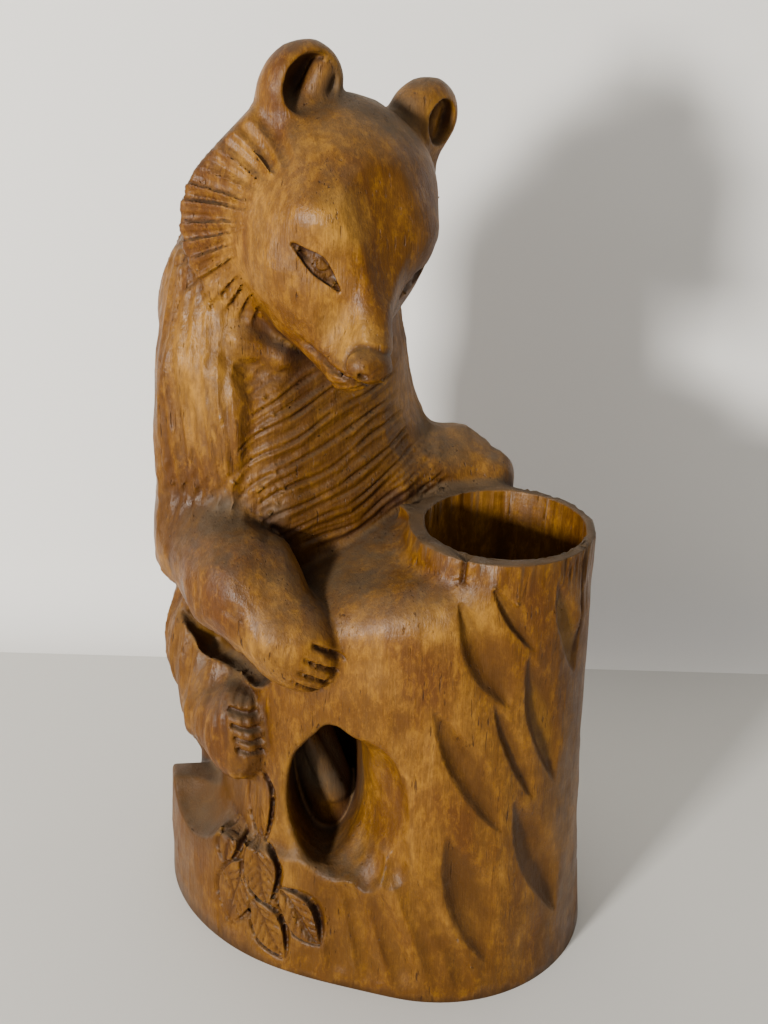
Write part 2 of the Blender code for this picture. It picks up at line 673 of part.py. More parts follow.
def edge_quads(solid, index, axis):
    """One quad round each grid edge that the surface crosses along an axis."""
    first = [slice(None)] * 3
    second = [slice(None)] * 3
    first[axis] = slice(None, -1)
    second[axis] = slice(1, None)
    edges = np.argwhere(solid[tuple(first)] != solid[tuple(second)])
    a, b = [(1, 2), (2, 0), (0, 1)][axis]
    limit = index.shape
    edges = edges[(edges[:, a] > 0) & (edges[:, b] > 0) & (edges[:, a] < limit[a]) & (edges[:, b] < limit[b])]
    da = np.eye(3, dtype=int)[a]
    db = np.eye(3, dtype=int)[b]
    around = [edges - da - db, edges - db, edges, edges - da]
    quads = np.stack([index[tuple(e.T)] for e in around], 1)
    outward = solid[tuple(edges.T)]
    quads[~outward] = quads[~outward][:, ::-1]
    return quads


def largest_shell(vertices, quads):
    """Drops stray chips and sealed bubbles: keeps the quads joined to the biggest shell."""
    label = np.arange(len(vertices))
    for _ in range(200):
        low = label[quads].min(1)
        new = label.copy()
        np.minimum.at(new, quads.ravel(), np.repeat(low, 4))
        new = new[new]
        if (new == label).all():
            break
        label = new
    group = label[quads[:, 0]]
    names, counts = np.unique(group, return_counts=True)
    quads = quads[group == names[counts.argmax()]]
    used, quads = np.unique(quads, return_inverse=True)
    return vertices[used], quads.reshape(-1, 4)


def mesh_of(name, vertices, quads):
    mesh = bpy.data.meshes.new(name)
    mesh.vertices.add(len(vertices))
    placed = (vertices - np.array((*ORIGIN, 0))) * MM
    mesh.vertices.foreach_set("co", placed.astype(np.float32).ravel())
    mesh.loops.add(quads.size)
    mesh.loops.foreach_set("vertex_index", quads.astype(np.int32).ravel())
    mesh.polygons.add(len(quads))
    mesh.polygons.foreach_set("loop_start", np.arange(0, quads.size, 4, dtype=np.int32))
    mesh.polygons.foreach_set("loop_total", np.full(len(quads), 4, np.int32))
    mesh.update(calc_edges=True)
    return mesh


def finish(obj):
    """Thins the mesh, cuts the underside flat at z = 0 and colours it."""
    thin = obj.modifiers.new("thin", "DECIMATE")
    thin.ratio = FACES / (2 * len(obj.data.polygons))
    graph = bpy.context.evaluated_depsgraph_get()
    thinned = bpy.data.meshes.new_from_object(obj.evaluated_get(graph))
    obj.modifiers.clear()
    obj.data = thinned
    sculpt = bmesh.new()
    sculpt.from_mesh(thinned)
    geometry = sculpt.verts[:] + sculpt.edges[:] + sculpt.faces[:]
    found = bmesh.ops.bisect_plane(sculpt, geom=geometry, dist=1e-6, plane_no=(0, 0, -1), clear_outer=True)
    rim = [e for e in found["geom_cut"] if isinstance(e, bmesh.types.BMEdge)]
    bmesh.ops.contextual_create(sculpt, geom=rim)
    bmesh.ops.triangulate(sculpt, faces=sculpt.faces[:])
    bmesh.ops.recalc_face_normals(sculpt, faces=sculpt.faces[:])
    sculpt.to_mesh(thinned)
    sculpt.free()
    thinned.shade_smooth()


def wood():
    material = bpy.data.materials.new("carved_wood")
    material.use_nodes = True
    shader = material.node_tree.nodes["Principled BSDF"]
    shader.inputs["Base Color"].default_value = (0.28, 0.13, 0.04, 1)
    shader.inputs["Roughness"].default_value = 0.45
    return material


def main():
    for obj in list(bpy.data.objects):
        bpy.data.objects.remove(obj, do_unlink=True)
    grid, low, step = fill_grid((-78, -76, -5), (80, 76, TOTAL_HEIGHT + 8), CELL)
    vertices, quads = surface(heal(grid, step), low, step)
    vertices, quads = largest_shell(vertices, quads)
    bear = bpy.data.objects.new(NAME, mesh_of(NAME, vertices, quads))
    bpy.context.scene.collection.objects.link(bear)
    finish(bear)
    bear.data.materials.append(wood())


# MAIN
main()
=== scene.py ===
"""A carved wooden bear leaning over a hollowed tree stump: the finished surface of the one block of wood.

The block is the same field of signed distances as the solid, drawn on a finer grid with the fine knife work
added, then coloured by a procedural wood material.
X runs from the bear towards the stump, -Y is the show side and Z is up. It stands on its flat underside.
"""

import json
import math

import bmesh
import bpy
import numpy as np
from mathutils import Matrix, Vector

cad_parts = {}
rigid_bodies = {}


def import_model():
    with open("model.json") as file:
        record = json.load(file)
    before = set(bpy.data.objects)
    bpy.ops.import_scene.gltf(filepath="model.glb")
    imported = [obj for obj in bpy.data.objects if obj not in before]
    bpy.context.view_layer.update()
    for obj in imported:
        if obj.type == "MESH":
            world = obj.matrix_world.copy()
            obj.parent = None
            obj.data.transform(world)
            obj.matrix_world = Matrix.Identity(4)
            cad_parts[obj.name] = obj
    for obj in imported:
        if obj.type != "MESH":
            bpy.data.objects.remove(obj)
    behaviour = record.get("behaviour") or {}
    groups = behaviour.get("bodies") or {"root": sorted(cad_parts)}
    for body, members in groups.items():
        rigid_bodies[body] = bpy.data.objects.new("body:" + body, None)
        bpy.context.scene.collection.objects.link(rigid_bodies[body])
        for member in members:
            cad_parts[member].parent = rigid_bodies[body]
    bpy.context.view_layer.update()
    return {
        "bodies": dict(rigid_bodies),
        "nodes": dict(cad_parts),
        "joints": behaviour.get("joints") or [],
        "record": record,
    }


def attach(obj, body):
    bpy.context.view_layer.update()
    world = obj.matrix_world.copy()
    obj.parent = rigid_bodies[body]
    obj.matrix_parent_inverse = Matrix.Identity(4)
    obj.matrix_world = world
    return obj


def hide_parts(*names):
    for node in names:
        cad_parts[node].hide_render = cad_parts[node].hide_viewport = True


NODE = "carved_bear"
PIECE = "bear_carving"
CELL = 0.6  # grid the surface is drawn on, in millimetres
LEVELS = 3  # each level of the grid halves the cells of the one before
SLICE = 400000  # points worked out at a time
FACES = 102000  # triangles kept before the fine edges are split
MM = 0.001

# Block
TOTAL_HEIGHT = 269.0
ORIGIN = (-0.4, -1.8)  # middle of the footprint, taken as the part's own origin
LOG_RADIUS = 59.5
LOG_CENTRE = (-9.0, 4.0)
LEDGE_HEIGHT = 40.5

# Stump and its cup
STUMP_RADIUS = 48.5
STUMP_CENTRE = (19.0, -18.0)
STUMP_TAPER = 0.04
RIM_HEIGHT = 143.0
RIM_RADIUS = 26.2
RIM_CENTRE = (33.0, -31.0)
RIM_TIP = (5.0, -20.5)
BORE_RADIUS = 22.5
BORE_CENTRE = (34.0, -30.5)
BORE_DEPTH = 65.0

# Head: where it sits and how it is turned, tipped and tilted
HEAD_CENTRE = (-19.9, -10.0, 225.0)
HEAD_TURN = 29.3
HEAD_TIP = 19.4
HEAD_TILT = 15.0
SKULL_RADIUS = 28.5
EAR_RADIUS = 11.2
EYE_LENGTH = 16.2
EYE_LID = 3.2
MOUTH_DEPTH = 1.0
RUFF_REACH = 29.0
RUFF_EDGES = (-82, -69, -61, -53, -46, -32, -21, -11, -1, 11, 19, 28, 41, 54, 65, 78)  # flute edges, degrees

CHEST_PITCH = 3.4
FUR_PITCH = 3.4

LEAF_EDGE = 0.5
LEAVES = (
    # angle round the log, height of the stalk end, length, width, lean to the right
    (-127.5, 44, 14, 8, -0.05),
    (-121.0, 68, 28, 11, 0.15),
    (-122.5, 34, 26, 15, -0.18),
    (-118.5, 43, 22, 13, 0.28),
    (-118.0, 22, 21, 12, 0.66),
    (-108.7, 30, 21, 12, 0.80),
)

# Camera, in millimetres and degrees, and backdrop, in metres
CAMERA_PLACE = (0, -385, 310.3)
CAMERA_PITCH = 25
CAMERA_ROLL = 1.65
CAMERA_LENS = 49.22
WALL_BACK = 0.16
COVE = 0.03

CORNERS = list(np.ndindex(2, 2, 2))  # of a cell of the grid


# ---- small field helpers


def vec(*values):
    return np.array(values, np.float32)


def length(v):
    return np.sqrt(np.einsum("...i,...i", v, v))


def join(a, b, k):
    """Union of two fields with a fillet of about k."""
    h = np.maximum(k - np.abs(a - b), 0) / k
    return np.minimum(a, b) - h * h * k * np.float32(0.25)


def cut(a, b, k):
    """The solid a with b taken out of it, its edge rounded by about k."""
    return -join(-a, b, k)


def trim(a, b, k):
    """What a and b share, its edge rounded by about k."""
    return -join(-a, -b, k)


def ellipsoid(p, centre, radii):
    q = p - vec(*centre)
    r = vec(*radii)
    k0 = length(q / r)
    return k0 * (k0 - 1) / np.maximum(length(q / (r * r)), 1e-6)


def limb(p, a, b, ra, rb):
    """A rounded, tapering limb from a to b."""
    a = vec(*a)
    ab = vec(*b) - a
    t = np.clip(((p - a) @ ab) / (ab @ ab), 0, 1)
    return length(p - a - t[:, None] * ab) - (ra + t * (rb - ra))


def chain(p, joints, k):
    """Limbs through (x, y, z, radius) joints."""
    parts = [limb(p, a[:3], b[:3], a[3], b[3]) for a, b in zip(joints, joints[1:])]
    whole = parts[0]
    for part in parts[1:]:
        whole = join(whole, part, k)
    return whole


def round_post(p, centre, radius):
    return np.hypot(p[:, 0] - np.float32(centre[0]), p[:, 1] - np.float32(centre[1])) - radius


def fade(x, start, end):
    """0 before start and 1 after end, smooth between."""
    t = np.clip((x - start) / (end - start), 0, 1)
    return t * t * (3 - 2 * t)


def window(x, low, high, soft):
    return fade(x, low - soft, low) * fade(-x, -high - soft, -high)


def spot(offset, reach, core):
    """1 within core of the middle and 0 beyond reach."""
    return fade(-length(offset), -reach, -core)


def scallop(t):
    """Side by side gouge cuts: 0 on the crests at whole t, 1 in the middle of a cut."""
    f = t - np.floor(t)
    return 1 - (2 * f - 1) ** 2


def vee(x, half_width):
    """A knife cut: 1 on the line, 0 from half_width away."""
    return np.maximum(1 - np.abs(x) / half_width, 0)


def taper(t):
    """A run of strokes: 1 along each, drawn out to 0 at whole t."""
    return np.minimum(2.2 * scallop(t), 1)


def stagger(row):
    """Where the strokes of a row start, so that no two neighbours start level."""
    return np.sin(row * 12.9) * 0.5 + row * 0.37


def gouges(across, along, width, stroke):
    """Long staggered gouge strokes: columns of a width, each broken into lens-shaped strokes."""
    column = np.floor(across / width)
    return scallop(across / width) * (0.35 + 0.65 * taper(along / stroke + stagger(column)))


def hairs(across, along, pitch, reach, blur=0.34):
    """Staggered knife lines: 1 on a line, 0 between, each line a lens along its length."""
    t = across / pitch
    row = np.round(t)
    return vee(t - row, blur) * taper(along / reach + stagger(row))


def turn(angle):
    """Cosine and sine of an angle in degrees."""
    return math.cos(math.radians(angle)), math.sin(math.radians(angle))


# ---- stump, cup and base


def stroke_frame(across, up, start, end):
    """Position along and beside a stroke from start to end, both as fractions of its half length."""
    du, dv = end[0] - start[0], end[1] - start[1]
    half = math.hypot(du, dv) / 2
    u = across - (start[0] + end[0]) / 2
    v = up - (start[1] + end[1]) / 2
    return (u * du + v * dv) / (half * 2 * half), (u * dv - v * du) / (half * 2)


def scoop(across, up, start, end, width, depth):
    """A lens-shaped scoop, steep on its lower left, with a floor that runs out softly to the right."""
    along, beside = stroke_frame(across, up, start, end)
    bow = np.maximum(1 - along**2, 0)
    t = np.clip((0.5 * width * bow - beside) / np.maximum(1.2 * width * bow, 1e-3), 0, 1)
    return 6.75 * depth * t * (1 - t) ** 2 * bow**0.9


def stump_scoops(p):
    """Bark scoops: eight on the show side, then a plainer run round the back."""
    around = np.degrees(np.arctan2(p[:, 1] + 18, p[:, 0] - 18))
    step = 46 * math.pi / 180
    s = around * step
    z = p[:, 2]
    strokes = [
        (-74, 137, -57, 116, 5),
        (-86, 132, -65, 99, 12),
        (-60, 116, -43, 69, 10),
        (-94, 101, -66, 58, 10),
        (-72, 102, -53, 66, 6),
        (-62, 69, -38, 20, 12),
        (-87, 60, -69, 12, 13),
        (-50, 136, -35, 103, 8),
    ]
    for column in range(4):
        for row in range(3):
            top = 134 - 42 * row - 14 * (column % 2)
            left = -22 + 24 * column + 4 * row
            strokes.append((left, top, left + 16, top - 36 - 3 * column, 10 + column))
    depth = 0
    for a0, z0, a1, z1, width in strokes:
        deep = 1.4 + 0.13 * width
        depth = np.maximum(depth, scoop(s, z, (a0 * step, z0), (a1 * step, z1), width, deep))
    return depth


def stump(p):
    x, y, z = p.T
    cx, cy = STUMP_CENTRE
    radius = STUMP_RADIUS - STUMP_TAPER * z
    trunk = np.hypot(x - (cx - 0.052 * z), y - cy) - radius
    flank = np.hypot(x + 3 - 0.016 * z, y + 8 + 0.024 * z) - radius - 0.5
    trunk = join(trunk, flank, 10)
    top = np.minimum(134.5 + 0.24 * x + 0.2 * (y + 35), 141)
    top = top - 0.75 * np.maximum(y + 4, 0) * fade(x, 10, 34)
    trunk = trim(trunk, (z - top) * 0.9, 12)
    trunk = trim(trunk, (z - (130 + 1.0 * (x + 22))) * 0.7, 16)
    trunk = cut(trunk, ellipsoid(p, (-4, -44, 152), (22, 20, 18)), 6)
    drop = np.clip((RIM_HEIGHT - z) / 83, 0, 1.2)
    cup = np.hypot(x - (RIM_CENTRE[0] - 9 * drop), y - (RIM_CENTRE[1] + 7 * drop))
    cup = cup - (RIM_RADIUS + 11.5 * drop)
    flat = np.stack([x, y, 0 * z], 1)
    tip = limb(flat, (20, -27, 0), (*RIM_TIP, 0), 14, 0.8) + 0.12 * np.maximum(RIM_HEIGHT - 3 - z, 0)
    cup = np.maximum(join(cup, tip, 2), z - RIM_HEIGHT)
    return join(trunk, cup, 3) + stump_scoops(p) + root_facets(p)


def root_facets(p):
    """Long flat gouge strokes that run down from the hollow to the foot of the block."""
    s, z = p[:, 0] + 0.25 * p[:, 1], p[:, 2]
    depth = np.zeros(len(p), np.float32)
    for top, foot, start in ((-28, -24, 36), (-22, -15, 38), (-16, -5, 38), (-8, 6, 47), (-2, 13, 36)):
        along, beside = stroke_frame(s, z, (top, start), (foot, 4))
        flat = np.clip(1 - (beside / 4.0) ** 2, 0, 1) * np.clip(1.1 - along**4, 0, 1)
        depth = np.maximum(depth, 0.9 * flat)
    return depth * fade(-p[:, 1], 40, 48)


def base(p):
    x, y, z = p.T
    log = round_post(p, LOG_CENTRE, LOG_RADIUS) + 0.02 * z
    fall = 0.8 * np.maximum(y + 5, 0) * fade(-x, 44, 54)
    log = trim(log, (z - LEDGE_HEIGHT + fall) * 0.8, 1.5)
    dish = ellipsoid(p, (-62, -30, 56), (21, 23, 25))
    stub = ellipsoid(p, (-54, 9, 46), (8, 8, 8))
    return join(cut(log, dish, 1), stub, 1)


# ---- leaves and root hollow


def leaf_frames(p):
    """For each leaf: place right of its midrib, share of the way down, bow there, length and edge gap."""
    wall = np.arctan2(p[:, 1] - LOG_CENTRE[1], p[:, 0] - LOG_CENTRE[0]) * LOG_RADIUS
    for around, top, size, width, lean in LEAVES:
        u = wall - math.radians(around) * LOG_RADIUS
        v = top - p[:, 2]
        norm = math.hypot(1, lean)
        along = (v + lean * u) / norm / size
        t = np.clip(along, 0, 1)
        bow = 4 * t * (1 - t)
        beside = (u - lean * v) / norm - 0.05 * width * np.sin(2 * np.pi * t)
        half = 0.5 * width * bow**0.8 * (1.1 - 0.25 * t)
        gap = half - np.abs(beside) - 2 * np.abs(along - t) * size
        yield beside, along, bow, size, gap


def leaf_relief(p):
    """Pointed leaves low on the wall, a little proud of a cut outline that is deep on the right."""
    depth = np.zeros(len(p), np.float32)
    for beside, along, bow, _, gap in leaf_frames(p):
        right = 2.6 * bow * np.clip(1 + gap / (0.6 + 2.4 * bow), 0, 1)
        left = 1.3 * np.clip(1 + gap / 1.5, 0, 1)
        blade = 0.9 * vee(beside, 1.2) * window(along, 0.06, 0.95, 0.04) - 0.9
        share = np.clip(gap / LEAF_EDGE, 0, 1)
        depth = np.maximum(depth, np.where(beside > 0, right, left))
        depth = depth + share * (blade - depth)
    return depth


def hollow(p):
    """The deep left half of the hollow low in the stump, with a root left standing inside it."""
    deep = ellipsoid(p, (-15, -38, 62), (11, 29, 25))
    deep = join(deep, ellipsoid(p, (-11, -50, 73), (8, 14, 19)), 3)
    void = join(deep, ellipsoid(p, (-11, -56, 57), (12.5, 12, 18)), 3)
    root = limb(p, (-25, -26, 86), (-14, -24, 42), 6, 9)
    root = join(root, limb(p, (-22, -34, 76), (-13, -30, 50), 3, 4), 1)
    return cut(void, root, 2)


def hollow_recess(p):
    """The right half of the hollow: a bowl slanting in from the right, with two shallow flutes in it."""
    bowl = ellipsoid(p, (-6.5, -66.5, 65), (16.5, 16.5, 25.5))
    flutes = ellipsoid(p, (-2.5, -61, 49), (6, 5.5, 12))
    return np.minimum(bowl, np.minimum(flutes, ellipsoid(p, (5, -64, 51), (5, 4.5, 11))))


def body_gouges(p, pitch, stroke, lean=0.0):
    around = np.arctan2(p[:, 1] - 10, p[:, 0] + 28) * 40
    return gouges(around + lean * p[:, 2], p[:, 2], pitch, stroke)


def torso(p):
    x, y, z = p.T
    body = ellipsoid(p, (-28, 8, 140), (40, 37, 58))
    body = join(body, ellipsoid(p, (-32, 7, 190), (35.5, 29, 34)), 14)
    body = join(body, ellipsoid(p, (-28, 14, 95), (36, 36, 50)), 14)
    body = join(body, limb(p, (-28, 16, 70), (-26, 16, 20), 32, 34), 10)
    body = join(body, limb(p, (-35, -14, 174), (-33, -15, 146), 15, 16.5), 8)
    body = join(body, limb(p, (-31, 7, 205), (-25, 2, 228), 26, 21), 10)
    front = fade(x - 0.35 * (y + 10), -46, -38) * fade(-y, 0, 10) * window(z, 135, 196, 6)
    fur = 0.9 * body_gouges(p, FUR_PITCH + 1, 55) * fade(y, -6, 8) * window(z, 46, 226, 8)
    return body + chest_hair(p) * front + fur


def chest_line(p):
    """Runs across the combed lines: up from the armpit, flat over the belly and up to the right."""
    x, _, z = p.T
    line = z - 0.42 * (x + 40) + 6 * np.exp(-np.maximum(x + 42, -8) / 7) - 0.006 * np.maximum(x + 12, 0) ** 2
    return line + 0.7 * np.sin(0.17 * x + 0.11 * z) + 0.3 * np.sin(0.41 * x - 0.23 * z)


def chest_hair(p):
    x, _, z = p.T
    line = chest_line(p)
    broken = 0.62 + 0.38 * np.sin(0.21 * x + 0.13 * z) * np.sin(0.19 * z - 0.09 * x + 1)
    combed = 0.75 * broken * hairs(line, x + 0.4 * z, CHEST_PITCH, 34)
    return combed + 0.4 * scallop(line / (2.6 * CHEST_PITCH))


def elbow_folds(p):
    """Slanting gouge strokes that fan out round the elbow."""
    x, y, z = p.T
    across = (x + 62) * 0.78 - (z - 118) * 0.55
    return gouges(across, z + x, FUR_PITCH, 42) * window(z, 108, 150, 12) * fade(-y, 8, 18)


def claw_place(p, i):
    """Across the cut beside each claw of the near paw, and to the right of its middle."""
    tx, tz = -14.0 - 2.2 * i, 116.5 - 3.6 * i
    return (p[:, 2] - tz) + 0.72 * (p[:, 0] - tx), p[:, 0] - tx


def right_arm(p):
    """The arm on the show side, hanging from the shoulder and laid over the stump."""
    x, y, z = p.T
    arm = chain(p, [(-46, -6, 203, 17), (-49, -15, 170, 18.5), (-50, -18, 135, 18)], 8)
    arm = trim(arm, -((x + 40) * 0.35 + (y + 33.5) * 0.94), 3)
    ridge = x + 40 + 0.5 * np.maximum(z - 176, 0) + 0.1 * np.maximum(165 - z, 0) - 0.85 * (y + 33)
    arm = trim(arm, ridge * 0.75 - 4 * fade(-z, -150, -138), 0.8)
    fur = 0.7 * body_gouges(p, FUR_PITCH, 60, 0.10) * window(z, 112, 208, 10) * fade(-x, 36, 42)
    fur = fur + 0.6 * elbow_folds(p)
    fore = chain(p, [(-52, -18, 129, 15.5), (-39, -40, 127, 14), (-27, -51, 118, 12)], 8)
    paw = ellipsoid(p, (-21, -53, 112.5), (11.5, 10, 11.5))
    fore = join(fore, paw, 6)
    claws = np.zeros(len(p), np.float32)
    for i in range(4):
        off, right = claw_place(p, i)
        reach = window(right, -3.6 + 0.4 * i, 4.6, 1.2)
        claws = np.maximum(claws, 1.1 * vee(off, 1.3) * reach * fade(-y, 46, 50))
    return join(arm + fur, fore, 7) + claws


def left_arm(p):
    """The far arm, lying along the back of the cup with its paw by the rim's tip."""
    upper = [(-11.5, 9, 175.5, 17), (-5, 8, 161, 12.5), (8, 8, 145, 11), (20, 9, 143.8, 10.5)]
    lower = [(31, 5, 141.5, 7.5), (20, 4, 143, 8.5), (11, 1, 144, 9), (2, -8, 144, 8.5)]
    arm = chain(p, upper + lower, 4)
    x, y, z = p.T
    nicks = hairs(z - 0.75 * x + 0.3 * y, x + z, 2.6, 20) * window(x, -4, 16, 2) * window(y, -24, -2, 2)
    return arm + 0.6 * nicks


def toe_line(p, i):
    """Runs across the cut below each toe of the near hind foot."""
    x, y, z = p.T
    return z - (90 - 3.9 * i) + 0.12 * (x + 38) - 0.15 * (y + 42)


def leg(p):
    """The near hind leg, its foot set flat against the stump with the toes to the right."""
    x, y, z = p.T
    thigh = chain(p, [(-42, 2, 112, 21), (-46, -8, 90, 19), (-45.5, -24, 76, 15)], 8)
    fur = 0.9 * body_gouges(p, 5.5, 40) * window(z, 60, 125, 8) * fade(-x, 44, 50)
    foot = ellipsoid(p, (-40.5, -37, 75), (11, 10.5, 16))
    foot = trim(foot, (-(y + 46.5) - 0.35 * (x + 40)) * 0.94, 1.5)
    toes = np.zeros(len(p), np.float32)
    for i in range(5):
        toes = np.maximum(toes, vee(toe_line(p, i), 1.3))
    toes = 1.2 * toes * window(x + 0.2 * (z - 80), -41.5, -34, 1.0) * fade(-y, 33, 37)
    return join(thigh + fur, foot, 4) + toes


def far_leg(p):
    thigh = chain(p, [(-14, 26, 92, 24), (-4, 36, 62, 19), (2, 40, 40, 14)], 8)
    return thigh + 1.1 * body_gouges(p, 6.0, 40)


# ---- head


def head_axes():
    """Rows: the head's right, forward and up directions."""
    ct, st = turn(HEAD_TURN)
    cp, sp = turn(HEAD_TIP)
    cr, sr = turn(HEAD_TILT)
    turned = np.array([[ct, -st, 0], [st, ct, 0], [0, 0, 1]])
    tipped = np.array([[1, 0, 0], [0, cp, -sp], [0, sp, cp]])
    tilted = np.array([[cr, 0, sr], [0, 1, 0], [-sr, 0, cr]])
    frame = turned @ tipped @ tilted
    return (frame * np.array([1, -1, 1])).T.astype(np.float32)


def head_places(p):
    """Places seen from the head: to its right, forwards and up."""
    return (p - vec(*HEAD_CENTRE)) @ head_axes().T


BROW_SPOON = ((-7.7, 52.4, 38.6, 34), (-2.1, 61.6, 25, 33), (1.2, 54.6, 17.3, 24), (-0.8, 52.8, -2.3, 7.6))


def skull(q):
    d = ellipsoid(q, (1, 3, 4), (SKULL_RADIUS, SKULL_RADIUS, SKULL_RADIUS))
    d = join(d, ellipsoid(q, (-0.9, 14, -8), (23.1, 22, 21)), 10)
    d = join(d, ellipsoid(q, (-15, -8, 7), (19, 15, 19)), 6)
    d = join(d, ellipsoid(q, (-11, 22, 9), (9, 8, 7)), 8)
    d = join(d, ellipsoid(q, (11, 22, 9), (8, 8, 7)), 8)
    d = join(d, muzzle(q), 7)
    return cut(d, chain(q, BROW_SPOON, 1), 0.7)


def muzzle(q):
    """The snout: flat sides under a narrow bridge, a squared nose and the lower lip set back."""
    d = limb(q, (-1, 24, -9), (-1.0, 42.5, -18), 13, 8)
    d = join(d, limb(q, (0, 26, 3), (0.4, 47.0, -14), 6.5, 3.8), 5)
    d = join(d, limb(q, (-2, 20, -20), (-1.6, 41.5, -24.4), 10, 4.6), 4)
    for side, flank in ((-1, 13.5), (1, 14.2)):
        plane = 0.958 * side * q[:, 0] + 0.234 * q[:, 1] + 0.163 * q[:, 2] - flank
        d = trim(d, plane - 10 * fade(-q[:, 1], -38, -28), 0.6)
    d = join(d, ellipsoid(q, (-1.2, 48.7, -16.6), (6.8, 4.9, 5.0)), 0.5)
    for across in (-4.6, 2.4):
        d = cut(d, ellipsoid(q, (across, 53.4, -17.8), (1.6, 2.6, 1.2)), 0.5)
    return cut(d, ellipsoid(q, (-8.4, 47.5, -14.5), (1.6, 2.6, 2.2)), 0.5)


def eye_place(q, side):
    """Along the eye from its outer corner inwards, and up across it."""
    u, v, w = q[:, 0] * side - 21.0, q[:, 1] - 25.0, q[:, 2] - 1.5
    return -0.637 * u + 0.705 * v - 0.312 * w, -0.375 * u + 0.066 * v + 0.915 * w


def lids(along):
    """Heights of the upper and the lower lid along the eye, both swelling over the eyeball."""
    bow = np.maximum(np.sin(np.pi * np.clip(along / EYE_LENGTH, 0, 1)), 0)
    swell = np.exp(-(((along - 8.2) / 4.4) ** 2))
    return EYE_LID * (0.5 * bow**0.8 + 0.38 * swell * bow), -0.8 * bow**0.7 - 0.5 * swell * bow


def both_eyes(q):
    """For each eye: the place along it and up across it, and the heights of its lids there."""
    for side in (-1, 1):
        along, up = eye_place(q, side)
        yield along, up, *lids(along)


def eye_cuts(q):
    """Almond sockets under a high upper lid, each with a round eyeball in it and a tear corner."""
    depth = np.zeros(len(q), np.float32)
    for along, up, upper, lower in both_eyes(q):
        inside = np.clip(np.minimum(upper - up + 0.3, (up - lower + 0.3) * 0.8), 0, 1)
        ball = fade(-np.hypot(along - 8.7, up - 1.7), -3.4, -1.2)
        wedge = fade(-np.abs(along - 3.6), -2.4, -0.6)
        socket = inside * (1.2 - 0.9 * ball + 0.7 * wedge) * window(along, 0, EYE_LENGTH, 0.3)
        depth = np.maximum(depth, socket * fade(q[:, 1], 10, 15))
    return depth


def lip_line(q):
    """Runs across the line between the lips, which turns up a little at its corner."""
    return q[:, 2] + 23.4 - 0.10 * (q[:, 1] - 34) - 0.05 * np.maximum(36 - q[:, 1], 0) ** 1.5


def mouth_cut(q):
    return MOUTH_DEPTH * vee(lip_line(q), 1.4 * MOUTH_DEPTH) * window(q[:, 1], 31, 60, 2)


def swivel(q, centre, angle):
    """Places seen from a centre, turned about the upright axis."""
    c, s = turn(angle)
    r = q - vec(*centre)
    return np.stack([r[:, 0] * c - r[:, 1] * s, r[:, 0] * s + r[:, 1] * c, r[:, 2]], 1)


def ear(q, place, facing, opening, gape=1.0):
    """A thick-walled cup of an ear with a leaf-like fold inside, opening forwards at an angle."""
    centre = (place[0], -6, place[1])
    r = swivel(q, centre, facing)
    shell = ellipsoid(r, (0, -0.5, 0), (EAR_RADIUS, 8, EAR_RADIUS))
    shell = join(shell, limb(r, (-2, 1, -5), (2, 2, -16), 6.5, 8), 5)
    r = swivel(q, centre, opening)
    shell = cut(shell, ellipsoid(r, (-0.4, 6, 2.0), (7.6 * gape, 8.5, 8.4 * gape)), 1)
    fold = limb(r, (3.6 * gape, 0.6, 5.5 * gape), (2.4 * gape, 1.8, -6 * gape), 3.4 * gape, 4.2 * gape)
    return join(shell, fold, 0.8)


def ruff_place(q, side):
    """Distance from the middle of the fan, angle round it up from straight out, and place above its face."""
    u, v, w = q[:, 0] * side - 22.7, q[:, 1] - 22.7, q[:, 2] - 6.1
    out = 0.839 * u - 0.401 * v - 0.368 * w
    up = 0.123 * u - 0.520 * v + 0.845 * w
    above = 0.531 * u + 0.754 * v + 0.387 * w
    rho = np.hypot(out, up)
    face = 0.87 * (above + 9 + 0.56 * (rho - 11) - 0.2 * up)
    return rho, np.degrees(np.arctan2(up, out)), face


def ruff_steps(swing):
    """How many flutes up the fan an angle is."""
    return np.interp(swing, RUFF_EDGES, np.arange(len(RUFF_EDGES))).astype(np.float32)


def ruff_collar(q, side, reach):
    """The flared collar of hair behind the cheek: a free outer edge that narrows into the neck behind it."""
    rho, swing, face = ruff_place(q, side)
    edge = reach + 0.10 * np.maximum(-swing - 35, 0) + 0.5 * scallop(ruff_steps(swing)) * fade(-swing, -30, 0)
    edge = np.where(np.abs(swing) > 100, reach - 0.3 * (np.abs(swing) - 100), edge)
    return trim(trim(face, -face - 24, 1), 0.8 * (rho - edge + 0.75 * np.maximum(-face - 6, 0)), 1)


def ruff_strokes(q, side):
    """The place on the fan, its angle bent as the flutes are, and how far out the flutes begin."""
    rho, swing, face = ruff_place(q, side)
    swing = swing - 0.33 * np.maximum(swing, 0) * (1 - rho / 32)
    return rho, swing, face, 10 + 0.16 * np.maximum(-swing - 5, 0)


def ruff_flutes(q, side):
    """Radial gouge flutes: soft above, stepped in the middle and shingled low down."""
    rho, swing, face, start = ruff_strokes(q, side)
    f = ruff_steps(swing)
    f = f - np.floor(f)
    low, high = fade(-swing, 26, 34), fade(swing, 18, 24)
    shingle = np.minimum(1.1 * f, (1 - f) / 0.12)
    step = np.minimum(1.1 * (1 - f), f / 0.22)
    profile = 2.0 * low * shingle + 1.1 * high * scallop(f) + 2.0 * (1 - low) * (1 - high) * step
    reach = fade(rho - start, 0, 7) * window(swing, -80, 78, 4) * (1 - 0.6 * fade(rho, 24, 29.5))
    return profile * reach * fade(-face, -7, -4)


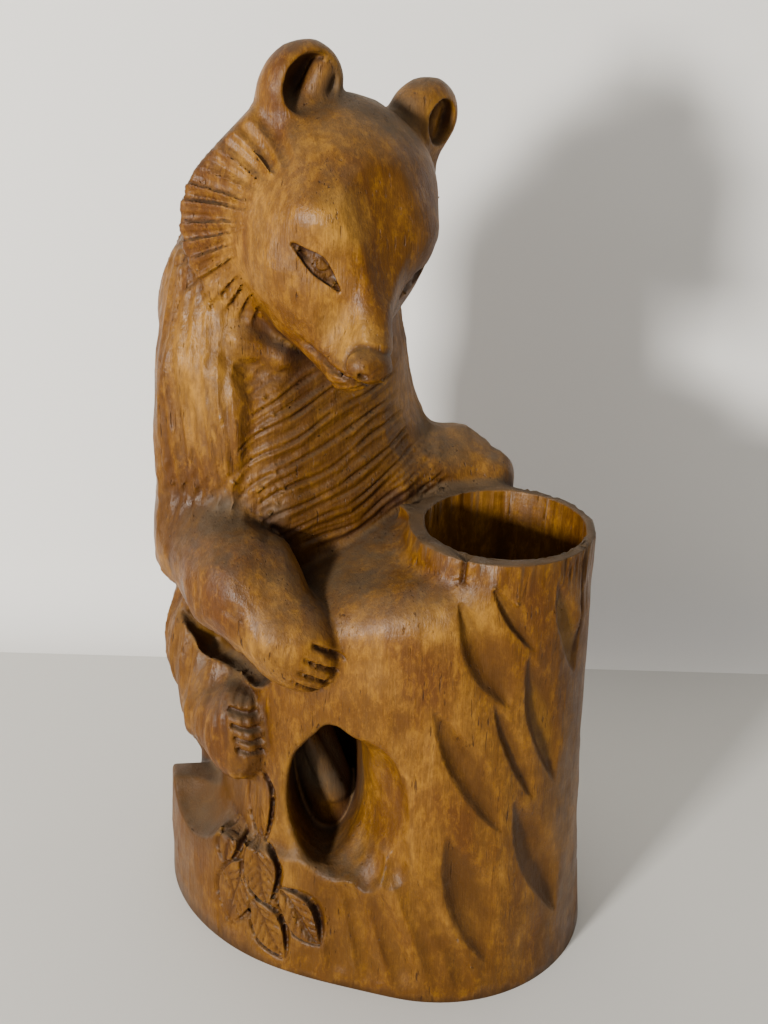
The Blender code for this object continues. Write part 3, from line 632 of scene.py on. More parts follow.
def head(p):
    q = head_places(p)
    d = skull(q)
    d = join(d, ruff_collar(q, -1, RUFF_REACH), 2)
    d = join(d, ruff_collar(q, 1, RUFF_REACH - 5), 2)
    d = d + ruff_flutes(q, -1) + ruff_flutes(q, 1)
    nape = -0.708 * p[:, 0] + 0.043 * p[:, 1] + 0.705 * p[:, 2] - 203.0
    d = trim(d, nape, 2)
    d = join(d, ear(q, (-16.0, 30.1), 0, 2), 3)
    d = join(d, ear(q, (23.8, 28.5), 12, 26, 0.7), 3)
    return d + eye_cuts(q) + mouth_cut(q)


def neck_roll(p):
    """The fold of neck below the ruff, running from the back of the shoulder to the throat."""
    joints = [(-54, -7, 207, 6.5), (-48, -15.5, 198, 7), (-39, -21.5, 191, 6)]
    return chain(p, joints + [(-29, -24, 187.5, 3.2), (-23, -21, 187, 1.5)], 5)


# ---- whole block


def elbow_pocket(p):
    """The dark pocket under the forearm, driven in along a slant, with a strut left across it."""
    inward = vec(-0.11, 0.856, -0.505)
    r = p - vec(-46, -27, 99)
    r = r - 0.65 * (r @ inward)[:, None] * inward
    void = chain(r, [(-13, 4, 9, 2.6), (-3, -1, 2, 4.8), (10, -7, -5, 4.2)], 2)
    strut = limb(p, (-47, -29, 99), (-36, -36, 95), 0.8, 1.3)
    return cut(void, strut, 1)


def block(p):
    d = join(torso(p), head(p), 2)
    d = join(d, neck_roll(p), 2.5)
    low = join(stump(p), base(p), 4 + 6 * fade(-p[:, 2], -40, -12)) + leaf_relief(p)
    d = join(d, low, 3)
    for part, k in ((far_leg, 5), (left_arm, 4), (right_arm, 1.5), (leg, 2)):
        d = join(d, part(p), k)
    d = trim(d, -0.986 * p[:, 0] - 0.158 * p[:, 1] + 0.043 * p[:, 2] - 74.6, 3)
    for void, k in ((elbow_pocket, 1), (hollow_recess, 2), (hollow, 3.5)):
        d = cut(d, void(p), k)
    bore = np.maximum(round_post(p, BORE_CENTRE, BORE_RADIUS), RIM_HEIGHT - BORE_DEPTH - p[:, 2])
    return cut(d, bore, 0.6)


# ---- mesh


def sample(points):
    """The field at many points, a slice at a time to spare memory."""
    parts = [block(points[i : i + SLICE]) for i in range(0, len(points), SLICE)]
    return np.concatenate(parts).astype(np.float32)


def fill_grid(low, high, cell):
    """The field on a grid: exact near the surface, interpolated away from it."""
    low = np.array(low, float)
    step = cell * 2 ** (LEVELS - 1)
    count = np.ceil((np.array(high) - low) / step).astype(int) + 1
    axes = [low[i] + step * np.arange(count[i]) for i in range(3)]
    points = np.stack(np.meshgrid(*axes, indexing="ij"), -1).astype(np.float32)
    grid = sample(points.reshape(-1, 3)).reshape(count)
    for _ in range(LEVELS - 1):
        step /= 2
        fine = np.empty(2 * np.array(grid.shape) - 1, np.float32)
        fine[::2, ::2, ::2] = grid
        fine[1::2, ::2, ::2] = (grid[1:] + grid[:-1]) / 2
        fine[:, 1::2, ::2] = (fine[:, 2::2, ::2] + fine[:, :-2:2, ::2]) / 2
        fine[:, :, 1::2] = (fine[:, :, 2::2] + fine[:, :, :-2:2]) / 2
        near = np.abs(fine) < 2.2 * step + 2.5
        fine[near] = sample((low + step * np.argwhere(near)).astype(np.float32))
        grid = fine
    return grid, low, step


def slab(grid, corner):
    """The grid seen from one corner of its cells."""
    return grid[tuple(slice(c, n - 1 + c) for c, n in zip(corner, grid.shape))]


def heal(grid, step):
    """Fills samples until no two solid corners of a cell touch only along an edge or at a point."""
    for _ in range(12):
        solid = grid < 0
        count = sum(slab(solid, c).astype(np.int8) for c in CORNERS)
        clash = np.zeros(count.shape, bool)
        for c in CORNERS[:4]:
            far = tuple(1 - i for i in c)
            both = slab(solid, c).astype(np.int8) + slab(solid, far)
            clash |= ((both == 2) & (count == 2)) | ((both == 0) & (count == 6))
        for axis in range(3):
            for side in (0, 1):
                a, b = [i for i in range(3) if i != axis]
                face = {}
                for i, j in np.ndindex(2, 2):
                    corner = [side] * 3
                    corner[a], corner[b] = i, j
                    face[i, j] = slab(solid, corner)
                same = (face[0, 0] == face[1, 1]) & (face[0, 1] == face[1, 0])
                clash |= same & (face[0, 0] != face[0, 1])
        if not clash.any():
            break
        for c in CORNERS:
            part = slab(grid, c)
            part[clash & (part >= 0)] = -0.05 * step
    return grid


def surface(grid, low, step):
    """Vertices and quads of the zero surface: one vertex in each cell it crosses."""
    solid = grid < 0
    inside = sum(slab(solid, c).astype(np.int8) for c in CORNERS)
    cells = np.argwhere((inside > 0) & (inside < 8))
    index = np.full(inside.shape, -1, np.int32)
    index[tuple(cells.T)] = np.arange(len(cells))
    place = np.zeros((len(cells), 3))
    crossings = np.zeros(len(cells))
    for corner in CORNERS:
        for axis in range(3):
            if corner[axis]:
                continue
            other = list(corner)
            other[axis] = 1
            a = grid[tuple((cells + corner).T)]
            b = grid[tuple((cells + other).T)]
            crossed = (a < 0) != (b < 0)
            point = np.tile(np.array(corner, float), (crossed.sum(), 1))
            point[:, axis] = a[crossed] / (a[crossed] - b[crossed])
            place[crossed] += point
            crossings[crossed] += 1
    vertices = low + step * (cells + place / crossings[:, None])
    quads = [edge_quads(solid, index, axis) for axis in range(3)]
    return vertices, np.concatenate(quads)


def edge_quads(solid, index, axis):
    """One quad round each grid edge that the surface crosses along an axis."""
    first = [slice(None)] * 3
    second = [slice(None)] * 3
    first[axis] = slice(None, -1)
    second[axis] = slice(1, None)
    edges = np.argwhere(solid[tuple(first)] != solid[tuple(second)])
    a, b = [(1, 2), (2, 0), (0, 1)][axis]
    limit = index.shape
    edges = edges[(edges[:, a] > 0) & (edges[:, b] > 0) & (edges[:, a] < limit[a]) & (edges[:, b] < limit[b])]
    da, db = np.eye(3, dtype=int)[[a, b]]
    around = [edges - da - db, edges - db, edges, edges - da]
    quads = np.stack([index[tuple(e.T)] for e in around], 1)
    outward = solid[tuple(edges.T)]
    quads[~outward] = quads[~outward][:, ::-1]
    return quads


def largest_shell(vertices, quads):
    """Drops stray chips and sealed bubbles: keeps the quads joined to the biggest shell."""
    label = np.arange(len(vertices))
    for _ in range(200):
        low = label[quads].min(1)
        new = label.copy()
        np.minimum.at(new, quads.ravel(), np.repeat(low, 4))
        new = new[new]
        if (new == label).all():
            break
        label = new
    group = label[quads[:, 0]]
    names, counts = np.unique(group, return_counts=True)
    quads = quads[group == names[counts.argmax()]]
    used, quads = np.unique(quads, return_inverse=True)
    return vertices[used], quads.reshape(-1, 4)


def mesh_of(name, vertices, quads):
    mesh = bpy.data.meshes.new(name)
    mesh.vertices.add(len(vertices))
    placed = (vertices - np.array((*ORIGIN, 0))) * MM
    mesh.vertices.foreach_set("co", placed.astype(np.float32).ravel())
    mesh.loops.add(quads.size)
    mesh.loops.foreach_set("vertex_index", quads.astype(np.int32).ravel())
    mesh.polygons.add(len(quads))
    mesh.polygons.foreach_set("loop_start", np.arange(0, quads.size, 4, dtype=np.int32))
    mesh.polygons.foreach_set("loop_total", np.full(len(quads), 4, np.int32))
    mesh.update(calc_edges=True)
    return mesh


# ---- finished surface


def normals_of(mesh):
    values = np.empty(len(mesh.vertices) * 3, np.float32)
    mesh.vertices.foreach_get("normal", values)
    return values.reshape(-1, 3)


def places_of(mesh):
    """Vertex places in the field's own millimetres."""
    values = np.empty(len(mesh.vertices) * 3, np.float32)
    mesh.vertices.foreach_get("co", values)
    return values.reshape(-1, 3) / MM + vec(*ORIGIN, 0)


def put_places(mesh, places):
    values = (places - vec(*ORIGIN, 0)) * MM
    mesh.vertices.foreach_set("co", values.astype(np.float32).ravel())
    mesh.update()


def thin(obj):
    """Thins the mesh to its face budget and cuts the underside flat at z = 0."""
    modifier = obj.modifiers.new("thin", "DECIMATE")
    modifier.ratio = FACES / (2 * len(obj.data.polygons))
    graph = bpy.context.evaluated_depsgraph_get()
    thinned = bpy.data.meshes.new_from_object(obj.evaluated_get(graph))
    obj.modifiers.clear()
    obj.data = thinned
    sculpt = bmesh.new()
    sculpt.from_mesh(thinned)
    geometry = sculpt.verts[:] + sculpt.edges[:] + sculpt.faces[:]
    found = bmesh.ops.bisect_plane(sculpt, geom=geometry, dist=1e-6, plane_no=(0, 0, -1), clear_outer=True)
    rim = [e for e in found["geom_cut"] if isinstance(e, bmesh.types.BMEdge)]
    bmesh.ops.contextual_create(sculpt, geom=rim)
    bmesh.ops.triangulate(sculpt, faces=sculpt.faces[:])
    bmesh.ops.recalc_face_normals(sculpt, faces=sculpt.faces[:])
    sculpt.to_mesh(thinned)
    sculpt.free()
    thinned.shade_smooth()


def scatter(cells, salt):
    """Repeatable numbers from 0 to 1 for whole-numbered cells."""
    mix = cells @ np.array([127.1, 311.7, 74.7]) + 19.19 * salt
    return np.modf(np.abs(np.sin(mix) * 43758.5453))[0]


def facets(places, size):
    """Shallow hollows side by side, meeting on ridges: 0 in the middle of each and 1 far out."""
    q = places / vec(*size)
    home = np.floor(q)
    nearest = np.full(len(q), 9.0)
    for step in np.ndindex(3, 3, 3):
        cell = home + np.array(step) - 1
        seed = cell + 0.15 + 0.7 * np.stack([scatter(cell, k) for k in range(3)], 1)
        nearest = np.minimum(nearest, ((q - seed) ** 2).sum(1))
    return np.minimum(nearest, 1)


def waver(places, scale, salt):
    """A smooth wavering field of about -1 to 1."""
    q = places / scale
    total = np.zeros(len(q))
    for k in range(5):
        turns = vec(*(scatter(np.array([[k + 1, salt, j]]), j)[0] * 4 - 2 for j in range(3)))
        total += np.sin(q @ turns * 2 + 2.1 * k + salt)
    return total / 3


def wanted_edge(places):
    """How short the mesh's edges should be, from the places where the finest cuts are."""
    q = head_places(places)
    zones = [
        (places - vec(-20, -57, 30), 31, 0.5),
        (q - vec(-15, 31, -1), 12, 0.4),
        (q - vec(0, 46, -18), 12, 0.5),
        (q - vec(-30, 2, -8), 24, 0.7),
        (places - vec(-14, -60, 112), 9, 0.45),
        (places - vec(-39, -43, 82), 11, 0.45),
        (places - vec(-14, -24, 158), 28, 0.65),
        (places - vec(21, -55, 141), 5, 0.5),
        (places - vec(55, -45, 130), 14, 0.8),
    ]
    limit = np.full(len(places), 9.0)
    for offset, reach, edge in zones:
        limit = np.where(length(offset) < reach, np.minimum(limit, edge), limit)
    return limit


def refine(mesh):
    """Splits the edges that are too long for the cuts that cross them."""
    sculpt = bmesh.new()
    sculpt.from_mesh(mesh)
    for _ in range(2):
        places = np.array([v.co for v in sculpt.verts], np.float32) / MM + vec(*ORIGIN, 0)
        limit = wanted_edge(places)
        ends = np.array([(e.verts[0].index, e.verts[1].index) for e in sculpt.edges])
        spans = length(places[ends[:, 0]] - places[ends[:, 1]])
        long = spans > 1.35 * np.maximum(limit[ends[:, 0]], limit[ends[:, 1]])
        edges = [e for e, split in zip(sculpt.edges, long) if split]
        bmesh.ops.subdivide_edges(sculpt, edges=edges, cuts=1)
        bmesh.ops.triangulate(sculpt, faces=[f for f in sculpt.faces if len(f.verts) > 3])
        sculpt.verts.index_update()
        sculpt.verts.ensure_lookup_table()
    sculpt.to_mesh(mesh)
    sculpt.free()
    mesh.shade_smooth()


def leaf_lines(p):
    """Midrib and side veins of each leaf, hidden where a later leaf lies over them."""
    lines = np.zeros(len(p))
    for beside, along, _, size, gap in leaf_frames(p):
        slant = (along * size - 1.1 * np.abs(beside)) / 3.4 + 0.25 * (beside > 0)
        veins = 0.6 * vee(slant - np.round(slant), 0.2) * window(along, 0.12, 0.85, 0.05)
        veins = veins * fade(gap, 0.6, 2.0)
        rib = 0.75 * vee(beside, 0.7) * window(along, 0.04, 0.93, 0.04)
        rim = 0.55 * vee(gap + 0.3, 0.8)
        lines = np.where(gap > 0, np.maximum(veins, rib), lines)
        lines = np.maximum(lines, rim * window(along, 0, 1, 0.02))
    return lines


def eye_lines(q):
    """Lids, the ring of the iris, the pupil and the tear corner."""
    lines = np.zeros(len(q))
    for along, up, upper, lower in both_eyes(q):
        inside = (up < upper) & (up > lower)
        iris = np.hypot(along - 8.7, up - 1.7)
        ring = np.maximum(0.25, 0.7 * vee(iris - 2.1, 0.65) + 0.6 * vee(iris, 0.8))
        ring = np.maximum(ring, 0.6 * vee(np.hypot(along - 13.6, up - 0.2) - 1.4, 0.5))
        rims = np.maximum(1.1 * vee(up - upper + 0.2, 0.7), 0.7 * vee(up - lower, 0.55))
        rims = rims * window(along, 0.2, EYE_LENGTH - 0.2, 0.8)
        drawn = np.where(inside, np.maximum(ring, rims), rims)
        lines = np.maximum(lines, drawn * fade(q[:, 1], 10, 15))
    return lines


def ruff_lines(q):
    """Fine hair lines that follow the flutes of the ruff."""
    lines = np.zeros(len(q))
    for side in (-1, 1):
        rho, swing, face, start = ruff_strokes(q, side)
        f = ruff_steps(swing)
        place = fade(rho - start, 0, 5) * window(swing, -80, 80, 3)
        place = place * fade(-face, -3, 3) * fade(-rho, -36, -32)
        crease = 0.6 * vee(f - np.round(f), 0.12)
        lines = np.maximum(lines, np.maximum(crease, 0.3 * hairs(f, rho, 0.31, 11)) * place)
    return lines


def fur_lines(p):
    """Fine hair: upright on the arm and back, combed across the chest, split at the elbow."""
    x, y, z = p.T
    body = 0.32 * np.maximum(body_gouges(p, 2.1, 27, 0.10) - 0.5, 0) * 2
    body = body * window(z, 62, 214, 10) * fade(-x - 0.9 * np.maximum(z - 150, 0) * (y < -12), 24, 34)
    line = chest_line(p)
    chest = 0.30 * hairs(line + 1.1, x + 0.4 * z, 2.3, 22, 0.4)
    chest = chest + 0.28 * hairs(line, x + 0.4 * z, 3.4, 34, 0.22)
    chest = chest * fade(x - 0.35 * (y + 10), -46, -41) * fade(-y, 2, 10) * window(z, 137, 194, 5)
    neck = 0.4 * hairs(0.5 * x + 0.8 * z + y, x - z, 1.9, 15, 0.4) * spot(p - vec(-37, -25, 190), 15, 8)
    return np.maximum(np.maximum(body, chest), neck)


def mouth_line(q):
    """The knife line between the lips and the edge of the nose."""
    lips = 0.7 * vee(lip_line(q), 0.8) * window(q[:, 1], 32, 60, 1.5) * fade(q[:, 1], 28, 31)
    pad = length((q - vec(-1.2, 48.7, -16.6)) / vec(6.8, 4.9, 5.0))
    ring = 0.7 * vee(5 * (pad - 1.1), 0.9) * fade(q[:, 1], 42, 45) * fade(q[:, 2], -21, -19)
    return np.maximum(lips, ring)


def paw_lines(p):
    """Claw and toe cuts drawn over with the knife point."""
    x, y, z = p.T
    lines = np.zeros(len(p))
    for i in range(4):
        off, right = claw_place(p, i)
        reach = window(right, -3.2 + 0.4 * i, 4.5, 0.8) * fade(-y, 48, 51)
        lines = np.maximum(lines, 0.8 * vee(off, 0.75) * reach)
    for i in range(5):
        reach = window(x + 0.2 * (z - 80), -41.5, -34.5, 0.6)
        lines = np.maximum(lines, 0.7 * vee(toe_line(p, i), 0.75) * reach * fade(-y, 34, 37))
    return lines


def rim_marks(p):
    """The drying split down from the rim on its right and the short notch in its front."""
    x, y, z = p.T
    around = np.degrees(np.arctan2(y - RIM_CENTRE[1], x - RIM_CENTRE[0]))
    outside = fade(np.hypot(x - BORE_CENTRE[0], y - BORE_CENTRE[1]), BORE_RADIUS + 0.8, BORE_RADIUS + 1.6)
    split = 1.0 * vee(0.45 * (around + 32) + 0.4 * np.sin(0.3 * z), 0.9) * window(z, 112, 146, 6)
    notch = 1.4 * vee(0.45 * (around + 116), 1.1) * window(z, 136.5, 146, 1.2)
    return np.maximum(split, notch) * outside


def knife_work(mesh):
    """Cuts the finest lines into the surface and keeps on each vertex how deep they are."""
    places = places_of(mesh)
    q = head_places(places)
    near = spot(q, 60, 52)
    lines = leaf_lines(places) * fade(-places[:, 1], 34, 40)
    lines = np.maximum(lines, fur_lines(places))
    lines = np.maximum(lines, np.maximum(paw_lines(places), rim_marks(places)))
    face = np.maximum(np.maximum(eye_lines(q), mouth_line(q)), ruff_lines(q))
    lines = np.maximum(lines, face * near)
    put_places(mesh, places - normals_of(mesh) * lines[:, None])
    # The kept depth darkens the lines' colour: stain held in the knife cuts, and painted shade along them.
    store(mesh, "cuts", np.clip(lines / 0.7, 0, 1))


def tool_marks(mesh):
    """Pushes the surface in by the gouge's marks: broad facets, upright on the stump, fine on the head."""
    places = places_of(mesh)
    normals = normals_of(mesh)
    x, y, z = places.T
    on_head = spot(places - vec(*HEAD_CENTRE), 48, 38)
    side = np.hypot(x - BORE_CENTRE[0], y - BORE_CENTRE[1])
    open_wall = fade(side, BORE_RADIUS + 0.3, BORE_RADIUS + 0.8) + fade(-z, -RIM_HEIGHT + BORE_DEPTH, 90)
    cuttable = np.clip(open_wall, 0, 1) * fade(z, 1, 5)
    wide = facets(places + 1.5 * waver(places, 9, 3)[:, None], (7.5, 7.5, 17))
    small = facets(places, (5, 5, 6))
    forearm = spot(places - vec(-38, -38, 124), 30, 20)
    far_arm = spot(places - vec(20, 6, 150), 22, 14)
    planes = facets(places + 1.0 * waver(places, 7, 5)[:, None], (9, 9, 11))
    rough = facets(places, (5, 5, 7))
    neck = spot(places - vec(-42, -22, 196), 26, 16)
    wide = wide * (1 - 0.8 * neck)
    push = (0.8 * wide * (1 - on_head) * (1 - forearm) + 0.35 * small * on_head) * cuttable
    push = push + (1.3 * planes * forearm + 1.3 * rough * far_arm) * cuttable
    push = push - 0.35 * waver(places, 14, 7) * cuttable * fade(z, 6, 12)
    push = push - 0.7 * root_facets(places) * fade(z, 3, 7)
    put_places(mesh, places + normals * (push - 0.3)[:, None] * cuttable[:, None])


def store(mesh, name, values):
    layer = mesh.attributes.new(name, "FLOAT", "POINT")
    layer.data.foreach_set("value", values.astype(np.float32))


def openness(places, normals, reaches):
    """How open the surface is: the field outside it against the distance walked out, 1 in the open."""
    total = np.zeros(len(places), np.float32)
    for reach in reaches:
        total += np.clip(sample(places + normals * reach) / reach, 0, 1)
    return total / len(reaches)


def mark_wear_and_shade(mesh):
    """Keeps on each vertex how deep in a recess it lies, broad and fine, for painted shade, and how proud an
    edge it is.
    """
    places = places_of(mesh)
    normals = normals_of(mesh)
    # Painted shade: how enclosed each vertex is darkens the wood's colour in recesses and creases.
    store(mesh, "broad_recess_shade", 1 - openness(places, normals, (5, 10, 18)))
    store(mesh, "fine_recess_shade", 1 - openness(places, normals, (1.2, 2.4)))
    inward = -sample(places - normals * 1.6) / 1.6
    store(mesh, "edge", np.clip(1 - inward, 0, 1))
    sawn = fade(places[:, 2], RIM_HEIGHT - 2.2, RIM_HEIGHT - 1) * fade(normals[:, 2], 0.25, 0.6)
    sawn = sawn * fade(places[:, 0], -2, 3) * fade(-places[:, 2], -RIM_HEIGHT - 2, -RIM_HEIGHT - 1)
    store(mesh, "sawn", sawn)
    store(mesh, "dusty", dust_beds(places))
    store(mesh, "stain_and_shade", stain_and_shade_zones(places))
    store(mesh, "pale", highlight_and_rub_places(places))


def stain_and_shade_zones(places):
    """Darkest places: stain on the eyes, nose, elbow, dish and foot; painted shadow on the chest; painted
    shade on the brow facet and, with stain, in the bark scoops.
    """
    q = head_places(places)
    near = spot(q, 60, 52)
    # Painted shade on the brow facet, which faces away from the light.
    brow = fade(-np.abs(chain(q, BROW_SPOON, 1) - 0.15), -0.9, -0.3) * fade(-q[:, 1], -46, -38) * near
    nose = spot((q - vec(-1, 54, -17)) / vec(6, 5, 5), 1.1, 0.7)
    # Painted shadow on the chest, where the arm and head shade it.
    chest = spot((places - vec(-14, -26, 160)) / vec(27, 22, 32), 1.15, 0.6)
    # The bark scoops darken with their depth: stain, and painted shade in them.
    bark = np.clip(np.maximum(stump_scoops(places) / 1.2, 0.6 * root_facets(places)), 0, 1)
    foot = spot((places - vec(-38, -44, 80)) / vec(8, 9, 17), 1.1, 0.7)
    eyes = np.zeros(len(places))
    for along, up, upper, lower in both_eyes(q):
        gap = np.minimum(upper - up, up - lower)
        eye = fade(gap, -0.9, 0.1) * window(along, 0, EYE_LENGTH, 1)
        eyes = np.maximum(eyes, eye * fade(q[:, 1], 10, 15))
    sprig = spot((places - vec(-22, -57, 28)) / vec(24, 14, 24), 1.15, 0.7)
    dish = spot((places - vec(-62, -30, 50)) / vec(23, 25, 22), 1.1, 0.85)
    elbow = spot((places - vec(-56, -22, 140)) / vec(13, 22, 15), 1.2, 0.5)
    zones = [(brow, 0.30), (nose, 0.35), (chest, 0.62), (bark, 0.8), (elbow, 0.6), (dish, 0.85)]
    zones += [(sprig, 0.35), (foot, 0.5), (eyes, 0.62)]
    share = np.zeros(len(places))
    for zone, strength in zones:
        share = np.maximum(share, strength * zone)
    return share


def highlight_and_rub_places(places):
    """Painted highlights on the high points the light catches, where handling has also rubbed the stain thin:
    the snout, the near brow, the paw, shoulder and stump.
    """
    q = head_places(places)
    spots = [
        (q - vec(-4, 40, -13), (9, 13, 8), 0.5),
        (q - vec(-12, 28, 12), (9, 9, 8), 0.5),
        (places - vec(-28, -54, 116), (13, 10, 10), 0.45),
        (places - vec(-48, -26, 186), (12, 14, 26), 0.35),
        (places - vec(20, -62, 128), (18, 12, 9), 0.4),
    ]
    share = np.zeros(len(places), np.float32)
    for offset, size, strength in spots:
        share = np.maximum(share, strength * spot(offset / vec(*size), 1.15, 0.5))
    return share


def dust_beds(places):
    """Where dust has settled: by the paw, in the crook of both arms, on the crown and in the root hollow."""
    beds = [((-8, -40, 134), 17), ((-30, -38, 144), 9), ((-6, -14, 252), 21), ((-15, -36, 60), 16)]
    beds += [((16, 4, 154), 15), ((-45, -36, 143), 11)]
    share = np.zeros(len(places), np.float32)
    for centre, reach in beds:
        share = np.maximum(share, 0.9 * spot(places - vec(*centre), reach, 0.45 * reach))
    return share


# ---- wood


class Nodes:
    """Small helper that adds shader nodes and links them."""

    def __init__(self, material):
        self.tree = material.node_tree
        self.coords = self.add("ShaderNodeTexCoord").outputs["Object"]

    def add(self, kind, **settings):
        node = self.tree.nodes.new(kind)
        for key, value in settings.items():
            setattr(node, key, value)
        return node

    def put(self, node, socket, value):
        if hasattr(value, "links"):
            self.tree.links.new(value, node.inputs[socket])
        else:
            node.inputs[socket].default_value = value

    def math(self, operation, a, b):
        node = self.add("ShaderNodeMath", operation=operation)
        self.put(node, 0, a)
        self.put(node, 1, b)
        return node.outputs[0]

    def times(self, a, b):
        return self.math("MULTIPLY", a, b)

    def axis_z(self, vector):
        node = self.add("ShaderNodeSeparateXYZ")
        self.put(node, 0, vector)
        return node.outputs[2]

    def stretch(self, scale):
        """The object's coordinates, scaled along each axis."""
        node = self.add("ShaderNodeMapping")
        self.put(node, "Vector", self.coords)
        self.put(node, "Scale", scale)
        return node.outputs[0]

    def noise(self, scale, detail=4.0, roughness=0.55, stretch=(1, 1, 1), warp=0.0):
        node = self.add("ShaderNodeTexNoise")
        self.put(node, "Vector", self.stretch(stretch))
        sockets = {"Scale": scale, "Detail": detail, "Roughness": roughness, "Distortion": warp}
        for socket, value in sockets.items():
            self.put(node, socket, value)
        return node.outputs["Fac"]

    def ramp(self, value, low, high, start=0.0, end=1.0):
        """value remapped from low..high to start..end and held there beyond."""
        node = self.add("ShaderNodeMapRange")
        for socket, amount in enumerate((value, low, high, start, end)):
            self.put(node, socket, amount)
        return node.outputs[0]

    def mix(self, share, a, b):
        node = self.add("ShaderNodeMix", data_type="RGBA")
        self.put(node, 0, share)
        self.put(node, 6, a)
        self.put(node, 7, b)
        return node.outputs[2]

    def attribute(self, name):
        return self.add("ShaderNodeAttribute", attribute_name=name).outputs["Fac"]


def wood():
    """Honey-brown stained and waxed wood, its grain upright, with dark stain and painted shade in the cuts
    and recesses, dust and painted sheen on top, and painted highlights on high points.
    """
    material = bpy.data.materials.new("carved_wood")
    material.use_nodes = True
    shader = material.node_tree.nodes["Principled BSDF"]
    n = Nodes(material)
    broad_shade = n.attribute("broad_recess_shade")
    blotch = n.noise(22, 4, 0.6, stretch=(1, 1, 0.6), warp=0.6)
    patch = n.noise(70, 5, 0.65, stretch=(1, 1, 0.55), warp=0.5)
    streak = n.noise(1.0, 5, 0.65, stretch=(260, 260, 11), warp=0.4)
    fibre = n.noise(1.0, 3, 0.7, stretch=(1700, 1700, 60))
    pores = n.noise(1.0, 2, 0.5, stretch=(1300, 1300, 150))
    pore_zone = n.noise(75, 3, stretch=(1, 1, 0.5))
    pore = n.times(n.ramp(pores, 0.64, 0.72), n.ramp(pore_zone, 0.46, 0.60))
    red = n.noise(34, 5, 0.65, stretch=(1, 1, 0.3), warp=1.0)
    mottle = n.noise(420, 8, 0.78, stretch=(1, 1, 0.45), warp=0.3)
    # Stain, with painted shadow on the chest and painted shade on the brow facet and in the bark scoops.
    stain_and_shade = n.times(n.attribute("stain_and_shade"), n.ramp(patch, 0.35, 0.6, 0.75, 1.15))
    # Painted highlight on the high points, also stain rubbed thin there.
    pale = n.times(n.attribute("pale"), n.ramp(mottle, 0.60, 0.40, 0.5, 1.1))
    height = n.axis_z(n.coords)
    # Darker towards the bottom of the block.
    lower_dark = n.times(n.ramp(height, 0.15, 0.03, 0, 0.42), n.ramp(patch, 0.35, 0.6, 0.6, 1.1))
    worn = n.times(n.ramp(n.attribute("edge"), 0.22, 0.7), n.ramp(patch, 0.62, 0.40, 0.08, 0.32))
    # Grey on up-facing surfaces: dust, and painted sheen of the light from above; the settled dust is added
    # to it.
    up = n.axis_z(n.add("ShaderNodeNewGeometry").outputs["Normal"])
    speckle = n.noise(130, 6, 0.7)
    dust_and_sheen = n.times(n.ramp(up, 0.30, 0.92), n.ramp(speckle, 0.34, 0.62, 0.25, 1))
    settled = n.times(n.attribute("dusty"), n.ramp(speckle, 0.3, 0.6, 0.45, 0.9))
    dust_and_sheen = n.math("MAXIMUM", n.times(dust_and_sheen, 0.75), settled)
    sawn = n.times(n.attribute("sawn"), n.ramp(patch, 0.35, 0.6, 0.6, 0.95))
    layers = [
        # share of the layer, and its colour
        (n.ramp(blotch, 0.42, 0.58), (0.320, 0.148, 0.022)),
        (n.ramp(patch, 0.42, 0.62, 0, 0.55), (0.092, 0.037, 0.004)),
        (n.ramp(streak, 0.38, 0.66, 0, 0.7), (0.168, 0.063, 0.004)),
        (n.ramp(fibre, 0.40, 0.75, 0, 0.4), (0.078, 0.026, 0.001)),
        (n.ramp(red, 0.50, 0.64, 0, 0.8), (0.070, 0.018, 0.003)),
        (n.ramp(mottle, 0.42, 0.60, 0, 0.5), (0.070, 0.026, 0.001)),
        (n.ramp(mottle, 0.50, 0.34, 0, 0.42), (0.35, 0.16, 0.010)),
        # stain, with painted shadow and painted shade
        (stain_and_shade, (0.060, 0.022, 0.002)),
        # painted highlight, also rubbed stain
        (pale, (0.40, 0.20, 0.030)),
        (lower_dark, (0.066, 0.026, 0.002)),
        # painted shade in the broad recesses
        (n.ramp(broad_shade, 0.22, 0.80, 0, 0.75), (0.040, 0.013, 0.002)),
        # painted shade in the fine creases
        (n.ramp(n.attribute("fine_recess_shade"), 0.12, 0.65, 0, 0.9), (0.022, 0.007, 0.002)),
        # knife lines: stain held in the cuts, and painted shade along them
        (n.times(n.attribute("cuts"), 0.85), (0.030, 0.009, 0.002)),
        (worn, (0.33, 0.16, 0.012)),
        # dust, and painted sheen on up-facing surfaces
        (dust_and_sheen, (0.068, 0.050, 0.031)),
        (sawn, (0.078, 0.048, 0.024)),
        (n.times(pore, 0.8), (0.022, 0.008, 0.003)),
    ]
    colour = (0.100, 0.036, 0.003, 1)
    for share, tone in layers:
        colour = n.mix(share, colour, (*tone, 1))
    n.put(shader, "Base Color", colour)
    rough = n.ramp(n.noise(90, 4), 0.3, 0.7, 0.28, 0.52)
    rough = n.math("ADD", rough, n.times(dust_and_sheen, 0.28))
    rough = n.math("ADD", rough, n.ramp(broad_shade, 0.3, 0.9, 0, 0.25))
    n.put(shader, "Roughness", rough)
    n.put(shader, "Specular IOR Level", 0.19)
    relief = n.math("ADD", n.times(fibre, 0.5), n.times(streak, 0.7))
    relief = n.math("SUBTRACT", relief, n.times(pore, 0.9))
    relief = n.math("ADD", relief, n.times(n.noise(380, 4, 0.65), 0.6))
    bump = n.add("ShaderNodeBump")
    n.put(bump, "Strength", 0.6)
    n.put(bump, "Distance", 0.0005)
    n.put(bump, "Height", relief)
    n.put(shader, "Normal", bump.outputs[0])
    return material


def put_object(name, data):
    obj = bpy.data.objects.new(name, data)
    bpy.context.scene.collection.objects.link(obj)
    return obj


